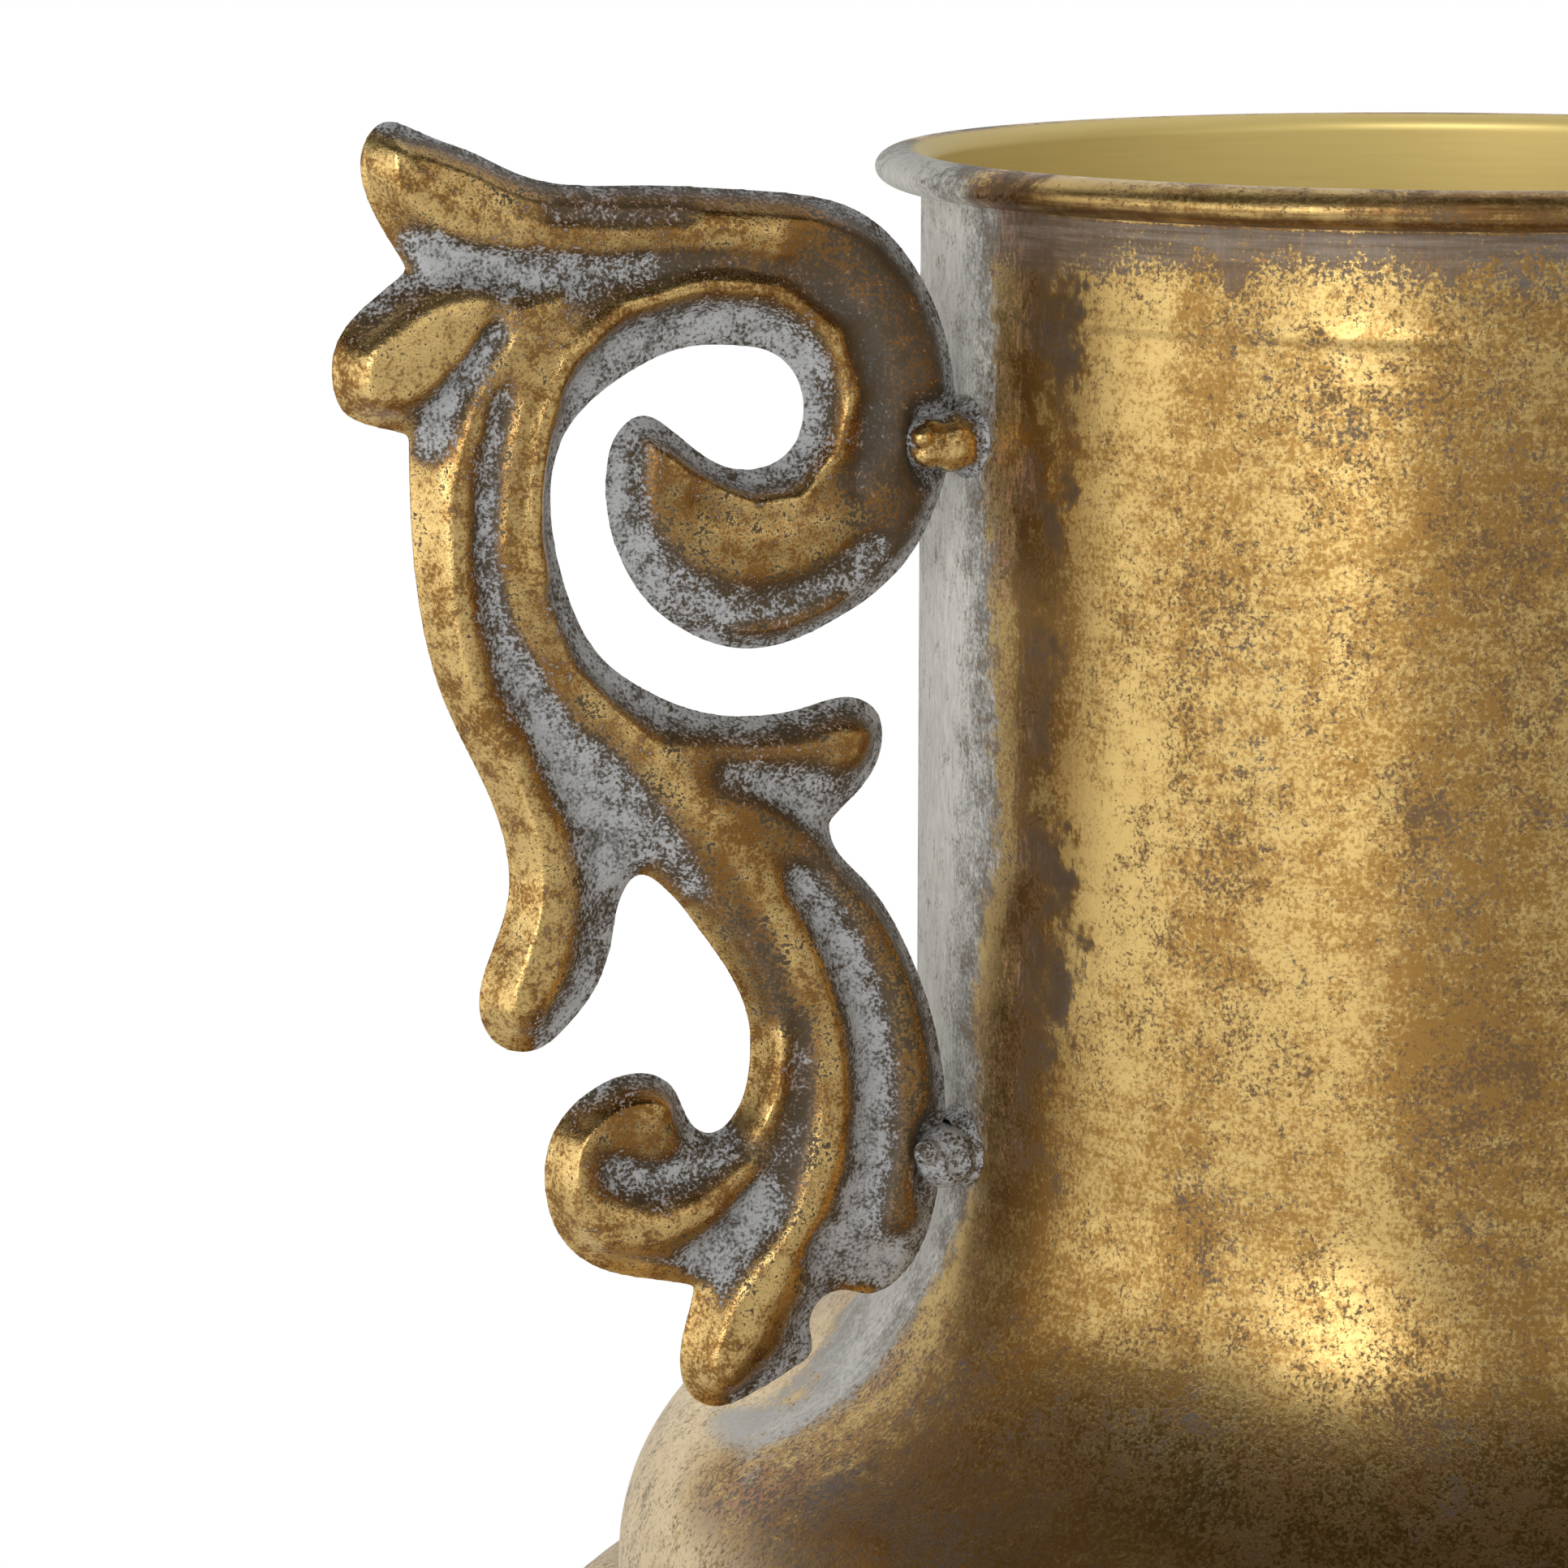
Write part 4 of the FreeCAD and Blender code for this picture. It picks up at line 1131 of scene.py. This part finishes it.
def soft_box(name, turn_deg, rise_deg, distance, width, tall, power):
    """A rectangular lamp aimed at the middle of the neck."""
    data = bpy.data.lights.new(name, "AREA")
    data.shape = "RECTANGLE"
    data.size, data.size_y = width, tall
    data.energy = power
    hang(data, Vector((0.0, 0.0, 0.33)), turn_deg, rise_deg, distance)


def snoot(power):
    """A narrow lamp from above the eye that lights only the inside of the mouth."""
    data = bpy.data.lights.new("snoot", "SPOT")
    data.energy = power
    data.spot_size = math.radians(7.4)
    data.spot_blend = 0.5
    data.shadow_soft_size = 0.02
    hang(data, Vector((0.014, 0.026, RIM_TOP - 8.0 * MM)), 240.8, 50.0, 1.0)


def towards(x, y, turn):
    """1 straight towards a turn round the axis, and -1 straight away from it."""
    level = (x * x + y * y).math("SQRT").most(MM)
    return (x * math.cos(turn) + y * math.sin(turn)) / level


def studio_world():
    """White to the eye; to everything else a room with a backdrop, a window and a dark ceiling."""
    world = bpy.data.worlds.new("studio")
    world.use_nodes = True
    bpy.context.scene.world = world
    g = Graph(world.node_tree)
    x, y, z = split(g, g.add("ShaderNodeTexCoord", output="Generated"))
    grey = (0.8, 0.8, 0.8, 1.0)
    backdrop, wall = g.background(grey, 1.0), g.background(grey, 0.42)
    ceiling, window = g.background(grey, 0.055), g.background(grey, 1.35)

    behind = g.fade(z.rise(0.82, 0.95), backdrop, ceiling)
    front = g.fade(z.rise(0.36, 0.5), wall, ceiling)
    across = towards(x, y, math.radians(290.0)).rise(0.90, 0.95)
    front = g.fade(across * z.band(0.04, 0.14, 0.46, 0.6), front, window)
    eye_turn = math.atan2(EYE.y, EYE.x)
    room = g.fade(towards(x, y, eye_turn).rise(-0.44, -0.18), behind, front)
    seen = g.fade(g.seen_by_eye(), room, g.background(WHITE, 1.0))
    g.add("ShaderNodeOutputWorld", {}, {"Surface": seen})


def floor_finish():
    """Pale floor: white far off, with the vase's shadow near it."""
    material, g = new_finish("pale_floor")
    x, y, _ = split(g, g.place())
    far = (x * x + y * y).math("SQRT").rise(0.16, 0.42)
    matt = g.add("ShaderNodeBsdfDiffuse", {}, {"Color": (0.8, 0.8, 0.79, 1.0)})
    seen = g.fade(far, g.join(matt, g.glow(0.42)), g.glow(1.0))
    lit = g.join(matt, g.glow(0.30))
    surface = g.fade(g.seen_by_eye(), lit, seen)
    g.add("ShaderNodeOutputMaterial", {}, {"Surface": surface})
    return material


class URN_OT_stage(bpy.types.Operator):
    """Set the pale floor, the soft lamps, the world and the camera"""

    bl_idname = "urn.stage"
    bl_label = "Stage"

    def execute(self, context):
        scene = context.scene
        stage = scene.urn_stage
        bpy.ops.object.select_all(action="DESELECT")
        bpy.ops.mesh.primitive_grid_add(x_subdivisions=8, y_subdivisions=8,
                                        size=2.0 * stage.floor_radius, location=(0.0, 0.0, 0.0))
        floor = context.object
        floor.name = "floor"
        floor.data.materials.append(floor_finish())

        # Turn and rise in degrees, then distance, width and height in metres
        soft_box("key", 222.0, 11.0, 1.3, 0.36, 0.80, stage.key_power)
        soft_box("fill", 184.0, 3.0, 1.35, 1.30, 0.85, stage.fill_power)
        soft_box("top", 238.0, 20.0, 1.3, 0.30, 0.24, stage.top_power)
        snoot(stage.snoot_power)
        studio_world()

        data = bpy.data.cameras.new("eye")
        data.sensor_width = SENSOR_MM
        data.lens = LENS_MM
        data.clip_start, data.clip_end = 0.01, 200.0
        camera = bpy.data.objects.new("eye", data)
        camera.location = EYE
        camera.rotation_euler = LOOK.to_track_quat("-Z", "Y").to_euler()
        scene.collection.objects.link(camera)
        scene.camera = camera
        scene.view_settings.view_transform = "Standard"
        return {"FINISHED"}


OPERATORS = (URN_OT_finishes, URN_OT_neck_sheet, URN_OT_handles, URN_OT_lugs, URN_OT_felt,
             URN_OT_stage)


class URN_PT_panel(bpy.types.Panel):
    """Steps that build the vase"""

    bl_idname = "URN_PT_panel"
    bl_label = "Antique Gold Urn"
    bl_space_type = "VIEW_3D"
    bl_region_type = "UI"
    bl_category = "Urn"

    def draw(self, context):
        for operator in OPERATORS:
            self.layout.operator(operator.bl_idname)


SETTINGS = {
    "urn_sheet": UrnSheetSettings,
    "urn_casting": UrnCastingSettings,
    "urn_finish": UrnFinishSettings,
    "urn_stage": UrnStageSettings,
}


def register():
    for kind in (*SETTINGS.values(), *OPERATORS, URN_PT_panel):
        bpy.utils.register_class(kind)
    for name, kind in SETTINGS.items():
        setattr(bpy.types.Scene, name, bpy.props.PointerProperty(type=kind))


def unregister():
    for name in SETTINGS:
        delattr(bpy.types.Scene, name)
    for kind in reversed((*SETTINGS.values(), *OPERATORS, URN_PT_panel)):
        bpy.utils.unregister_class(kind)


def main():
    register()
    for operator in OPERATORS:
        group, name = operator.bl_idname.split(".")
        getattr(getattr(bpy.ops, group), name)()


if __name__ == "__main__":
    main()
